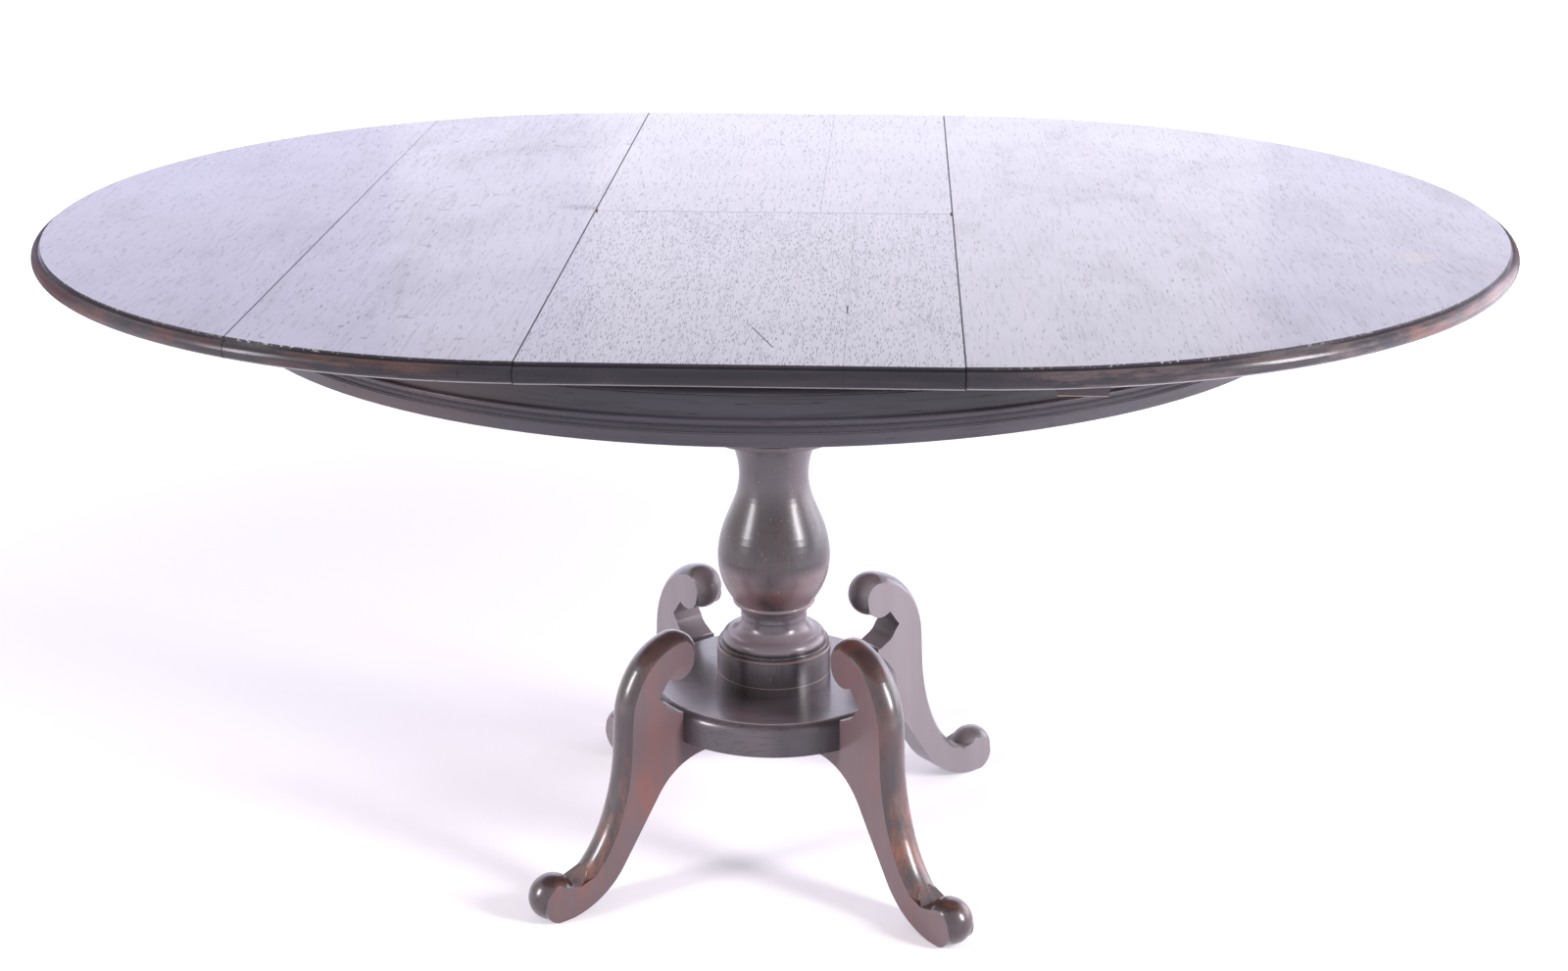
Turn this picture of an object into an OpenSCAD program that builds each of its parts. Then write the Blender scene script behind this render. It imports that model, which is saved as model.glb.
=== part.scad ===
// Round pedestal dining table that draws apart for a folding leaf.
// Two half-round ends slide apart on wooden runners inside a round moulded apron.
// A turned baluster column stands on a round platform with four scroll legs.
// X is the line the ends slide along, Y runs from the front to the back, Z is up.
// The origin is on the floor, on the axis of the column.

/* [Top] */
// Radius of each half-round end, to its sharp upper edge
top_r = 570; // [520:5:620]
// Thickness of the top boards
top_t = 19; // [16:0.5:24]
// Width of the leaf, along the line the ends slide
leaf_w = 381; // [340:1:420]
// How far the leaf stands proud of the ends at the front and back
leaf_proud = 1.5; // [0:0.5:4]
// Gap on each side of the leaf
seam_gap = 0.4; // [0.2:0.1:1]
// Gap on each side of the fold across the leaf
fold_gap = 0.2; // [0.1:0.1:0.6]
// Space between the leaf and the runners that carry it
leaf_rest_gap = 0.2; // [0.1:0.1:0.5]
// Width of the inner board of the left end
left_board_w = 264; // [200:1:330]
// Distance from the middle of the leaf to the glued joint in its back half
back_joint_x = 50; // [20:1:90]
// Distance from the middle of the leaf to the glued joint in its front half
front_joint_x = 88; // [60:1:130]
// Height of the square step below the sharp upper edge
edge_step = 3.5; // [2:0.5:6]
// How far the rounded nose of the edge stands out
edge_out = 9.7; // [8:0.1:13]

/* [Slides] */
// Width of each wooden runner
runner_w = 24; // [18:1:28]
// Height of each wooden runner
runner_h = 44; // [36:1:52]
// Width of the fixed rail between two runners
rail_w = 30; // [26:1:36]
// Distance from the middle of the table to the middle of each rail
rail_y = 237.5; // [225:0.5:250]
// Length of each rail
rail_l = 800; // [760:5:840]
// Height of the groove in each side of a rail
groove_h = 12; // [9:0.5:15]
// Depth of the groove in each side of a rail
groove_d = 9; // [7:0.5:11]
// Clearance of a runner in its rail
slide_gap = 0.3; // [0.2:0.1:0.6]
// Length of the tongue on each runner
tongue_l = 300; // [240:5:340]
// How far a runner reaches past the middle of the table
runner_tail = 150; // [130:5:170]
// How far a runner reaches under its end of the top, from the middle of the table
runner_reach = 400; // [380:5:410]
// Travel of each end beyond the leaf, to let the leaf out
let_out = 60; // [40:5:70]
// Length of each stop glued in a rail's groove
stop_l = 40; // [25:5:60]
// How far the thin battens stop short of the tip of each end
batten_gap = 120.5; // [100:0.5:160]
// Thickness of the battens and bearers that pass over the apron
batten_t = 8; // [6:0.5:8]
// Width of the bearer that runs to the front and back of each end
bearer_w = 45; // [35:1:55]
// Distance from the middle of the table to the middle of those bearers
bearer_x = 289.5; // [270:0.5:310]
// How far the visible bearer, at the front right, stops inside the sharp edge
front_bearer_gap = 8; // [6:1:30]
// How far the other bearers stop inside the sharp edge
bearer_gap = 65; // [40:1:100]

/* [Apron] */
// How far the apron lies inside the sharp edge of the closed top
apron_inset = 2; // [0:0.5:12]
// Height of the apron
apron_h = 47; // [42:1:60]
// Gap between the apron and the underside of the top
rim_gap = 9; // [8.5:0.5:14]
// Thickness of the apron's wall
apron_wall = 23; // [18:1:30]
// Height of the moulding planted on the lower part of the apron
moulding_h = 26; // [22:1:30]
// How far the bead of the moulding stands out from the plain band
bead_out = 4.5; // [2:0.5:6]
// Thickness of the floor of the leaf well
floor_t = 9; // [7:0.5:12]
// Width of the two crossed bearers below the floor
cross_w = 70; // [50:1:90]
// Thickness of the crossed bearers
cross_t = 28; // [22:1:34]
// How far the crossed bearers stop inside the apron's wall
cross_set = 65; // [55:5:90]

/* [Capital and column] */
// Height of the hidden capital on top of the column
capital_h = 143; // [120:1:170]
// Radius of the collar at the foot of the capital
collar_r = 76; // [66:1:90]
// Height of that collar
collar_h = 7; // [5:0.5:12]
// Radius of the capital's top flange
flange_r = 98; // [88:1:120]
// Radius of the column where it meets the collar
column_top_r = 53; // [46:1:60]
// Least radius of the column's neck bend
neck_bend = 9.5; // [7:0.5:12]
// Height of the neck
neck_h = 77; // [65:1:90]
// Radius where the neck passes into the shoulder
shoulder_r = 44.2; // [41:0.2:48]
// Height of the straight shoulder
shoulder_h = 24; // [16:1:34]
// Radius where the shoulder passes into the bulb
bulb_top_r = 54; // [50:0.5:57]
// Height of the bulb above its widest place
bulb_top_h = 38; // [32:1:46]
// Greatest radius of the bulb
bulb_r = 62.9; // [60:0.1:68]
// Height of the bulb below its widest place
bulb_low_h = 56; // [48:1:66]
// Radius of the bulb at the small ring
bulb_foot_r = 45.4; // [43:0.1:48]
// Height of the small ring under the bulb
ring_h = 5; // [4:0.5:7]
// Least radius of the waist
waist_r = 37.4; // [35:0.1:40]
// Height of the cove above the waist
cove_h = 15; // [12:0.5:19]
// Height of the flared skirt below the waist
skirt_h = 28; // [24:0.5:34]
// Radius of the skirt's lower edge
skirt_r = 59; // [56:0.5:61]
// Height of the bead and fillets under the skirt
bead_h = 7; // [5:0.5:10]
// Radius of the cylinder at the foot of the column
drum_r = 64.5; // [62:0.5:70]
// Height of the cylinder at the foot of the column
drum_h = 42; // [36:1:50]
// Radius of the column's lower tenon
foot_tenon_r = 27; // [22:1:32]
// Radius of the column's upper tenon
head_tenon_r = 24; // [18:1:28]
// Length of the column's upper tenon
head_tenon_l = 44; // [34:1:54]

/* [Platform and legs] */
// Height of the platform's underside above the floor
platform_z = 168; // [160:1:178]
// Thickness of the platform
platform_t = 36; // [30:1:40]
// Radius of the platform
platform_r = 141; // [130:1:150]
// Radius of the rounding along the platform's upper edge
platform_round = 10; // [6:1:14]
// Radius of the hub under the platform
hub_r = 76.7; // [66:0.1:82]
// Thickness of the hub
hub_t = 26; // [20:1:32]
// Turn of the base about the column, against the top
base_turn = -4.35; // [-10:0.05:10]
// Thickness of each leg
leg_t = 36; // [30:1:42]
// Radius of the leg's outer line below the scroll
crown_r = 80.1; // [74:0.1:86]
// Turn of that arc
crown_turn = 42.9; // [40:0.1:46]
// Radius of the outer line at the knee
knee_r = 105; // [98:0.5:112]
// Turn of that arc
knee_turn = 33.3; // [31:0.1:35]
// Radius of the hollow arc down the shin
shin_r = 248; // [235:1:260]
// Turn of that arc
shin_turn = 19.4; // [18:0.1:21]
// Radius of the hollow arc at the ankle
ankle_r = 136.4; // [130:0.1:142]
// Turn of that arc
ankle_turn = 24.5; // [23:0.1:26]
// Depth of the rounded nose along a leg's outer edge
leg_nose = 9; // [7:0.5:10]
// Distance from the column's axis to the middle of the toe
leg_reach = 307; // [302:1:322]
// Radius of the scroll ball and of the toe ball
scroll_r = 26; // [24:0.5:28]
// How much is planed off flat under each foot
foot_flat = 0.5; // [0.3:0.1:1.5]
// Radius of the open notch under the scroll
notch_r = 21; // [19:0.5:22]
// Thickness of the tenon that joins a leg to the platform
leg_tenon_t = 18; // [12:1:22]
// Height of that tenon
leg_tenon_h = 18; // [12:1:20]
// Length of that tenon
leg_tenon_l = 28; // [20:1:34]

/* [Hidden] */
// Clearance of a fixed joint
fit_gap = 0.1;
// Clearance round a fixed pin or tenon that is round
round_gap = 0.2;
// Screw sizes: shank radius, head radius and head height
screw_r = 2.1;
screw_head_r = 4;
screw_head_h = 3;
// How far a screw bites into the top boards
screw_bite = 13;
// How far the screws of rails and capital bite
deep_bite = 20;
// Space between a runner and the inner end of a bearer
bearer_set = 22;
// Glue blocks: length, width and height
block_l = 50;
block_w = 22;
block_h = 20;
// Hinge at each side of the fold: plate thickness, length, height, lug and pin radius
hinge_t = 2;
hinge_l = 42;
hinge_h = 12;
lug_r = 2;
hinge_pin_r = 0.9;
hinge_gap = 0.1;

$fn = 96;
// Turn between two points of a drawn arc
arc_step = 4;
far = 2000;

// Levels, from the floor up
platform_top = platform_z + platform_t;
column_h = drum_h + bead_h + skirt_h + cove_h + ring_h + bulb_low_h + bulb_top_h
    + shoulder_h + neck_h;
collar_z = platform_top + column_h;
cross_z = collar_z + capital_h;
apron_z = cross_z + cross_t;
floor_top = apron_z + floor_t;
rim_z = apron_z + apron_h;
under_z = rim_z + rim_gap;
top_z = under_z + top_t;

// Radii of the apron
apron_r = top_r - apron_inset;
rim_in_r = apron_r - apron_wall;
rabbet_r = rim_in_r + 7;
planted_r = apron_r - 12;

// Plan positions of the slides
inner_lane = rail_y - rail_w / 2 - slide_gap - runner_w;
outer_lane = rail_y + rail_w / 2 + slide_gap;
runner_z = under_z - runner_h;
rail_top = under_z - 3;
groove_z = (floor_top + rail_top) / 2;
half_leaf = leaf_w / 2;
leaf_half = half_leaf - seam_gap;
leaf_t = top_t - leaf_rest_gap;
bearer_in = outer_lane + runner_w + bearer_set;
bearer_short = top_r - bearer_gap;
bearer_front = top_r - front_bearer_gap;
batten_reach = half_leaf + top_r - batten_gap;

// Centre of the arc of radius r from p to q, on its right for side 1, on its left for side -1
function arc_centre(p, q, r, side) =
    let (d = q - p, l = norm(d), n = [d[1], -d[0]] / l, h = sqrt(max(0, r * r - l * l / 4)))
    (p + q) / 2 + n * h * side;

// Angle of a point seen from a centre
function turn(c, p) = atan2(p[1] - c[1], p[0] - c[0]);

// Angle swept from a to b, counter-clockwise
function sweep(a, b) = (b - a + 720) % 360;

// Radius of the arc that rises by s over the chord from p to q
function rise_radius(p, q, s) = let (h = norm(q - p) / 2) (h * h + s * s) / (2 * s);

// Points from p to q along an arc that swells by s to the right, or hollows with s below 0
function swell(p, q, s) =
    let (
        r = rise_radius(p, q, abs(s)),
        side = s > 0 ? -1 : 1,
        c = arc_centre(p, q, r, side),
        a = turn(c, p),
        w = s > 0 ? sweep(a, turn(c, q)) : -sweep(turn(c, q), a),
        n = max(2, ceil(abs(w) / arc_step))
    )
    [for (i = [0 : n]) c + r * [cos(a + w * i / n), sin(a + w * i / n)]];

// Section of a top board with its moulded edge, the sharp upper edge at the origin
module edge_section(width, t) {
    nose_h = (top_t - edge_step) / 2;
    nose_r = nose_h + 0.45;
    translate([-width, -t])
        square([width, t]);
    intersection() {
        translate([edge_out - nose_r, -edge_step - nose_h])
            circle(r = nose_r);
        translate([-2, -t])
            square([edge_out + 4, t - edge_step]);
    }
}

// A half-round end of the top, drawn with its straight side on the Y axis
module half_round() {
    translate([0, 0, top_z])
        rotate([0, 0, -90])
            rotate_extrude(angle = 180, $fn = 240)
                translate([top_r, 0])
                    edge_section(top_r, top_t);
}

module screw_up(x, y, z, l) {
    translate([x, y, z])
        cylinder(h = screw_head_h, r = screw_head_r, $fn = 24);
    translate([x, y, z + screw_head_h - 0.01])
        cylinder(h = l - screw_head_h + 0.01, r = screw_r, $fn = 24);
}

module screw_hole(x, y, z, l) {
    translate([x, y, z])
        cylinder(h = l + 0.3, r = screw_r + fit_gap, $fn = 24);
}

module head_hole(x, y, z, h) {
    translate([x, y, z - 1])
        cylinder(h = h + 1, r = screw_head_r + fit_gap, $fn = 24);
}

// Places of the screws that hold a runner, a batten and a bearer to the top
runner_screw_x = [half_leaf + 25, (half_leaf + runner_reach) / 2, runner_reach - 35];
batten_screw_x = [runner_reach + 30, batten_reach - 40];
bearer_screw_y = [for (f = [0.27, 0.78]) bearer_in + f * (bearer_short - bearer_in)];
runner_sink = runner_h / 2;

module end_screw_list(lane) {
    for (s = [-1, 1]) {
        y = s * (lane + runner_w / 2);
        for (x = runner_screw_x)
            screw_up(x, y, runner_z + runner_sink, runner_h - runner_sink + screw_bite);
        for (x = batten_screw_x)
            screw_up(x, y, under_z - batten_t, batten_t + screw_bite);
        for (d = bearer_screw_y)
            screw_up(bearer_x, s * d, under_z - batten_t, batten_t + screw_bite);
    }
}

module end_screw_holes(lane) {
    for (s = [-1, 1]) {
        y = s * (lane + runner_w / 2);
        for (x = runner_screw_x)
            screw_hole(x, y, runner_z, runner_h + screw_bite);
        for (x = batten_screw_x)
            screw_hole(x, y, under_z - batten_t, batten_t + screw_bite);
        for (d = bearer_screw_y)
            screw_hole(bearer_x, s * d, under_z - batten_t - 1, batten_t + 1 + screw_bite);
    }
}

// Side view of a runner: square tail, outer end cut back on a slant
module runner_side() {
    polygon([
        [-runner_tail, runner_z], [runner_reach - 32, runner_z],
        [runner_reach, runner_z + runner_h * 0.55], [runner_reach, under_z],
        [-runner_tail, under_z]
    ]);
}

// A runner in its lane, with the tongue on the side that faces the rail
module runner(side, lane, face) {
    tongue_h = groove_h - 2 * slide_gap;
    y0 = side > 0 ? lane : -lane - runner_w;
    tongue_y = face * side > 0 ? y0 + runner_w - 0.01 : y0 - groove_d;
    difference() {
        union() {
            translate([0, y0 + runner_w, 0])
                rotate([90, 0, 0])
                    linear_extrude(runner_w)
                        runner_side();
            translate([-runner_tail, tongue_y, groove_z - tongue_h / 2])
                cube([tongue_l, groove_d + 0.01, tongue_h]);
        }
        for (x = runner_screw_x) {
            y = y0 + runner_w / 2;
            head_hole(x, y, runner_z, runner_sink + screw_head_h);
            screw_hole(x, y, runner_z + 1, runner_h);
        }
    }
}

// Thin battens that carry on the line of the runners over the apron
module batten_pair(lane) {
    for (s = [-1, 1])
        difference() {
            translate([0, s * (lane + runner_w / 2) + runner_w / 2, 0])
                rotate([90, 0, 0])
                    linear_extrude(runner_w)
                        polygon([
                            [runner_reach, under_z - batten_t],
                            [batten_reach - batten_t, under_z - batten_t],
                            [batten_reach, under_z - batten_t * 0.4],
                            [batten_reach, under_z],
                            [runner_reach, under_z]
                        ]);
            for (x = batten_screw_x) {
                y = s * (lane + runner_w / 2);
                head_hole(x, y, under_z - batten_t, screw_head_h);
                screw_hole(x, y, under_z - batten_t, batten_t + 1);
            }
        }
}

// Bearer across the end of the top, from beside the runners towards the edge
module end_bearer(side, reach) {
    bevel = 1;
    inner = bearer_in;
    difference() {
        intersection() {
            translate([bearer_x - bearer_w / 2, side > 0 ? inner : -reach, under_z - batten_t])
                cube([bearer_w, reach - inner, batten_t]);
            translate([0, side > 0 ? reach : -inner, 0])
                rotate([90, 0, 0])
                    linear_extrude(reach - inner)
                        polygon([
                            [bearer_x - bearer_w / 2 + bevel, under_z - batten_t],
                            [bearer_x + bearer_w / 2 - bevel, under_z - batten_t],
                            [bearer_x + bearer_w / 2, under_z],
                            [bearer_x - bearer_w / 2, under_z]
                        ]);
            rotate([90, 0, 90])
                linear_extrude(far)
                    polygon([
                        [side * (reach - bevel), under_z - batten_t],
                        [side * reach, under_z - batten_t + bevel],
                        [side * reach, under_z],
                        [side * inner, under_z],
                        [side * inner, under_z - batten_t]
                    ]);
        }
        for (d = bearer_screw_y) {
            head_hole(bearer_x, side * d, under_z - batten_t, screw_head_h);
            screw_hole(bearer_x, side * d, under_z - batten_t, batten_t + 1);
        }
    }
}

module left_end() {
    difference() {
        translate([-half_leaf, 0, 0])
            mirror([1, 0, 0])
                half_round();
        mirror([1, 0, 0])
            end_screw_holes(outer_lane);
    }
}

module left_inner_board() {
    color("#4a2c22")
        intersection() {
            left_end();
            translate([-half_leaf - left_board_w, -far / 2, 0])
                cube([left_board_w, far, far]);
        }
}

module left_outer_board() {
    color("#4f2f24")
        intersection() {
            left_end();
            translate([-half_leaf - left_board_w - far, -far / 2, 0])
                cube([far, far, far]);
        }
}

module left_front_runner() {
    color("#6b4a34")
        mirror([1, 0, 0])
            runner(-1, outer_lane, -1);
}

module left_back_runner() {
    color("#6b4a34")
        mirror([1, 0, 0])
            runner(1, outer_lane, -1);
}

module left_battens() {
    color("#6b4a34")
        mirror([1, 0, 0])
            batten_pair(outer_lane);
}

module left_front_bearer() {
    color("#5c3a28")
        mirror([1, 0, 0])
            end_bearer(-1, bearer_short);
}

module left_back_bearer() {
    color("#5c3a28")
        mirror([1, 0, 0])
            end_bearer(1, bearer_short);
}

module left_screws() {
    color("#77716a")
        mirror([1, 0, 0])
            end_screw_list(outer_lane);
}

module right_board() {
    color("#4d2e23")
        difference() {
            translate([half_leaf, 0, 0])
                half_round();
            end_screw_holes(inner_lane);
        }
}

module right_front_runner() {
    color("#6b4a34")
        runner(-1, inner_lane, 1);
}

module right_back_runner() {
    color("#6b4a34")
        runner(1, inner_lane, 1);
}

module right_battens() {
    color("#6b4a34")
        batten_pair(inner_lane);
}

module right_front_bearer() {
    color("#5c3a28")
        end_bearer(-1, bearer_front);
}

module right_back_bearer() {
    color("#5c3a28")
        end_bearer(1, bearer_short);
}

module right_screws() {
    color("#77716a")
        end_screw_list(inner_lane);
}

// One half of the leaf between two places along X, side 1 for the back half
module leaf_half_board(side, x0, x1) {
    w = top_r + leaf_proud - fold_gap;
    difference() {
        translate([side > 0 ? x0 : x1, side * (top_r + leaf_proud), top_z])
            rotate([90, 0, side > 0 ? 90 : -90])
                linear_extrude(x1 - x0)
                    edge_section(w, leaf_t);
        for (e = [-1, 1]) {
            hinge_pocket(side, e);
            hinge_relief(e);
        }
    }
}

// Outline of a hinge plate seen from the side, the fold line at the origin
module plate_outline(side, grow) {
    polygon([
        [side * (fold_gap - grow), grow],
        [side * (fold_gap - grow), -hinge_h - 2 - grow],
        [side * (hinge_l + grow), -hinge_h - 2 - grow],
        [side * (hinge_l + grow), -2 + grow],
        [side * 7, -2 + grow],
        [side * 4, grow]
    ]);
}

// Places a hinge layer: e is the side of the leaf, x the depth from the leaf's side edge
module at_hinge(e, x, t) {
    translate([e > 0 ? leaf_half - x - t : -leaf_half + x, 0, top_z])
        rotate([90, 0, 90])
            linear_extrude(t)
                children();
}

module hinge_pocket(side, e) {
    at_hinge(e, -1, hinge_t + hinge_gap + 1)
        plate_outline(side, hinge_gap);
}

// Round space about the fold line, in which the lugs turn
module hinge_relief(e) {
    at_hinge(e, -1, hinge_t + hinge_gap + 1)
        circle(r = lug_r + 0.5, $fn = 48);
}

// Plate with a lug of half its thickness: the back plate's lug is the outer one
module hinge_plate(side, e) {
    half = hinge_t / 2;
    difference() {
        union() {
            at_hinge(e, 0, hinge_t)
                plate_outline(side, 0);
            at_hinge(e, side > 0 ? 0 : half + hinge_gap / 2, half - hinge_gap / 2)
                circle(r = lug_r, $fn = 48);
        }
        at_hinge(e, side > 0 ? half - hinge_gap / 2 : -1, half + hinge_gap / 2 + 1)
            circle(r = lug_r + 2 * hinge_gap, $fn = 48);
        at_hinge(e, -1, hinge_t + 2)
            circle(r = hinge_pin_r + (side > 0 ? 0.02 : 0.06), $fn = 32);
    }
}

module leaf_back_wide_board() {
    color("#45291f")
        leaf_half_board(1, -leaf_half, back_joint_x);
}

module leaf_back_narrow_board() {
    color("#49301f")
        leaf_half_board(1, back_joint_x, leaf_half);
}

module leaf_front_wide_board() {
    color("#452b20")
        leaf_half_board(-1, -leaf_half, front_joint_x);
}

module leaf_front_narrow_board() {
    color("#4a2d20")
        leaf_half_board(-1, front_joint_x, leaf_half);
}

module leaf_back_hinge_plates() {
    color("#b08d4a")
        for (e = [-1, 1])
            hinge_plate(1, e);
}

module leaf_front_hinge_plates() {
    color("#b08d4a")
        for (e = [-1, 1])
            hinge_plate(-1, e);
}

module leaf_hinge_pins() {
    color("#b08d4a")
        for (e = [-1, 1])
            at_hinge(e, 0, hinge_t)
                circle(r = hinge_pin_r, $fn = 32);
}

// Rail with a groove in each side, screwed down on the floor of the well
rail_screw_x = [-rail_l / 2 + 70, -rail_l / 6, rail_l / 6, rail_l / 2 - 70];

module rail(side) {
    rotate([0, 0, side > 0 ? 0 : 180])
        difference() {
            translate([-rail_l / 2, rail_y - rail_w / 2, floor_top])
                cube([rail_l, rail_w, rail_top - floor_top]);
            for (s = [-1, 1])
                translate([
                    -far / 2,
                    s > 0 ? rail_y + rail_w / 2 - groove_d : rail_y - rail_w / 2 - 1,
                    groove_z - groove_h / 2
                ])
                    cube([far, groove_d + 1, groove_h]);
            for (x = rail_screw_x)
                screw_hole(x, rail_y, floor_top - 1, deep_bite + 2);
        }
}

module front_rail() {
    color("#7a5a3e")
        rail(-1);
}

module back_rail() {
    color("#7a5a3e")
        rail(1);
}

// Stops in the grooves: the tongues meet them when an end is drawn out far enough
stop_x = tongue_l - runner_tail + let_out + 2;

module rail_stops() {
    color("#8a6a48")
        for (s = [-1, 1]) {
            y0 = s > 0 ? rail_y - rail_w / 2 : -rail_y + rail_w / 2 - groove_d;
            translate([stop_x, y0, groove_z - groove_h / 2])
                cube([stop_l, groove_d, groove_h]);
            y1 = s > 0 ? rail_y + rail_w / 2 - groove_d : -rail_y - rail_w / 2;
            translate([-stop_x - stop_l, y1, groove_z - groove_h / 2])
                cube([stop_l, groove_d, groove_h]);
        }
}

module rail_screws() {
    color("#77716a")
        for (s = [-1, 1], x = rail_screw_x)
            screw_up(x, s * rail_y, apron_z, floor_t + deep_bite);
}

// Upper part of the apron: plain bent rim with a rabbet for the floor of the well
module apron_rim() {
    color("#4a2b21")
        rotate_extrude($fn = 240)
            polygon([
                [rim_in_r, floor_top], [rabbet_r, floor_top], [rabbet_r, apron_z],
                [planted_r, apron_z], [planted_r, apron_z + moulding_h],
                [apron_r, apron_z + moulding_h], [apron_r, rim_z - 1],
                [apron_r - 1, rim_z], [rim_in_r, rim_z]
            ]);
}

// Moulding planted on the rim: bead, fillet, cove, fillet and flat band
module apron_moulding() {
    top = apron_z + moulding_h;
    band_top = apron_z + moulding_h * 0.44;
    lip = 1.2;
    fillet = 4;
    color("#4d2d22")
        rotate_extrude($fn = 240)
            polygon(concat(
                [[planted_r, apron_z], [apron_r - 1.5, apron_z]],
                swell([apron_r - 1.5, apron_z], [apron_r, apron_z + 1.5], 0.4),
                [[apron_r, band_top], [apron_r - lip, band_top], [apron_r - lip, band_top + lip]],
                swell([apron_r - lip - 2, band_top + lip], [apron_r + 1.6, top - fillet - lip], -1.7),
                [[apron_r + 2.6, top - fillet - lip], [apron_r + 2.6, top - fillet]],
                swell([apron_r + bead_out - 1.6, top - fillet], [apron_r + bead_out - 1.6, top], 1.6),
                [[planted_r, top]]
            ));
}

// Small glue blocks in the corner between rim and floor, at the front and back
module rim_blocks() {
    color("#8a6a48")
        intersection() {
            for (s = [-1, 1], a = [-24, 0, 24])
                rotate([0, 0, a + (s > 0 ? 90 : -90)])
                    translate([rim_in_r - block_w, -block_l / 2, floor_top])
                        cube([block_w + 2, block_l, block_h]);
            translate([0, 0, floor_top - 1])
                cylinder(h = block_h + 2, r = rim_in_r, $fn = 240);
        }
}

module well_floor() {
    color("#7a5c40")
        difference() {
            translate([0, 0, apron_z])
                cylinder(h = floor_t, r = rabbet_r, $fn = 240);
            for (s = [-1, 1], x = rail_screw_x) {
                head_hole(x, s * rail_y, apron_z, screw_head_h);
                screw_hole(x, s * rail_y, apron_z, floor_t + 1);
            }
        }
}

// One of the two bearers under the floor, halved into the other at the middle
module cross_bearer() {
    l = rim_in_r - cross_set;
    translate([0, cross_w / 2, 0])
        rotate([90, 0, 0])
            linear_extrude(cross_w)
                polygon([
                    [-l, apron_z], [-l, apron_z - cross_t * 0.45],
                    [-l + 90, cross_z], [l - 90, cross_z],
                    [l, apron_z - cross_t * 0.45], [l, apron_z]
                ]);
}

cross_screw_r = (collar_r - 14 + flange_r) / 2 - 8;

module cross_screw_holes() {
    for (a = [0 : 90 : 270])
        rotate([0, 0, a]) {
            translate([cross_screw_r, 0, cross_z - 1])
                cylinder(h = cross_t + 2, r = screw_r + fit_gap, $fn = 24);
            translate([cross_screw_r, 0, apron_z - screw_head_h])
                cylinder(h = screw_head_h + 1, r = screw_head_r + fit_gap, $fn = 24);
        }
}

module side_cross_bearer() {
    color("#6b4a34")
        difference() {
            cross_bearer();
            translate([-cross_w / 2, -cross_w, cross_z + cross_t / 2])
                cube([cross_w, 2 * cross_w, cross_t]);
            cross_screw_holes();
        }
}

module front_cross_bearer() {
    color("#6b4a34")
        difference() {
            rotate([0, 0, 90])
                cross_bearer();
            translate([-cross_w, -cross_w / 2, cross_z - cross_t / 2])
                cube([2 * cross_w, cross_w, cross_t]);
            cross_screw_holes();
        }
}

// Capital: collar at its foot, plain drum, and a flange that carries the bearers
module capital() {
    drum = collar_r - 14;
    flange_z = cross_z - 28;
    color("#45291f")
        difference() {
            rotate_extrude()
                polygon(concat(
                    [[0, collar_z], [collar_r - 1, collar_z], [collar_r, collar_z + 1]],
                    [[collar_r, collar_z + collar_h - 1.5], [collar_r - 1.5, collar_z + collar_h]],
                    [[drum, collar_z + collar_h]],
                    swell([drum, collar_z + collar_h + 30], [flange_r - 4, flange_z - 4], -10),
                    [[flange_r - 4, flange_z], [flange_r, flange_z]],
                    [[flange_r, cross_z - 2], [flange_r - 2, cross_z], [0, cross_z]]
                ));
            translate([0, 0, collar_z - 1])
                cylinder(h = head_tenon_l + 3, r = head_tenon_r + round_gap);
            for (a = [0 : 90 : 270])
                rotate([0, 0, a])
                    translate([cross_screw_r, 0, cross_z - deep_bite - 4])
                        cylinder(h = deep_bite + 5, r = screw_r + fit_gap, $fn = 24);
        }
}

module capital_screws() {
    color("#77716a")
        for (a = [0 : 90 : 270])
            rotate([0, 0, a])
                translate([cross_screw_r, 0, apron_z])
                    rotate([180, 0, 0])
                        screw_up(0, 0, 0, cross_t + deep_bite + 2);
}

// Turned column: cylinder, bead, skirt, waist, ring, bulb and neck, with a tenon at each end
bead_z = platform_top + drum_h;
skirt_z = bead_z + bead_h;
waist_z = skirt_z + skirt_h;
ring_z = waist_z + cove_h;
bulb_z = ring_z + ring_h;
wide_z = bulb_z + bulb_low_h;
bulb_end_z = wide_z + bulb_top_h;
neck_z = bulb_end_z + shoulder_h;
ring_r = bulb_foot_r - 1;
wedge_l = 34;

module column_profile() {
    bend_r = skirt_r - 9;
    bend_z = skirt_z + 9;
    polygon(concat(
        [[0, platform_top], [drum_r, platform_top]],
        [[drum_r, bead_z - 1.2], [drum_r - 1.2, bead_z], [skirt_r + 2, bead_z]],
        swell([skirt_r + 2, bead_z + 0.8], [skirt_r + 2, skirt_z - 1.6], 1.5),
        [[skirt_r, skirt_z - 1.6], [skirt_r, skirt_z]],
        swell([skirt_r - 0.6, skirt_z], [bend_r, bend_z], 2.6),
        swell([bend_r, bend_z], [waist_r, waist_z], -5.2),
        swell([waist_r, waist_z], [ring_r, ring_z], -2.4),
        swell([ring_r, ring_z], [ring_r, bulb_z], 1.8),
        swell([bulb_foot_r, bulb_z], [bulb_r, wide_z], 5.2),
        swell([bulb_r, wide_z], [bulb_top_r, bulb_end_z], 1.5),
        swell([shoulder_r, neck_z], [column_top_r, collar_z], -neck_bend),
        [[0, collar_z]]
    ));
}

module wedge_shape(tail) {
    translate([0, foot_tenon_r * 0.8, platform_z - hub_t])
        rotate([90, 0, 0])
            linear_extrude(foot_tenon_r * 1.6)
                polygon([
                    [-2.2, -tail], [2.2, -tail], [2.2, 0],
                    [0.6, wedge_l], [-0.6, wedge_l], [-2.2, 0]
                ]);
}

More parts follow.
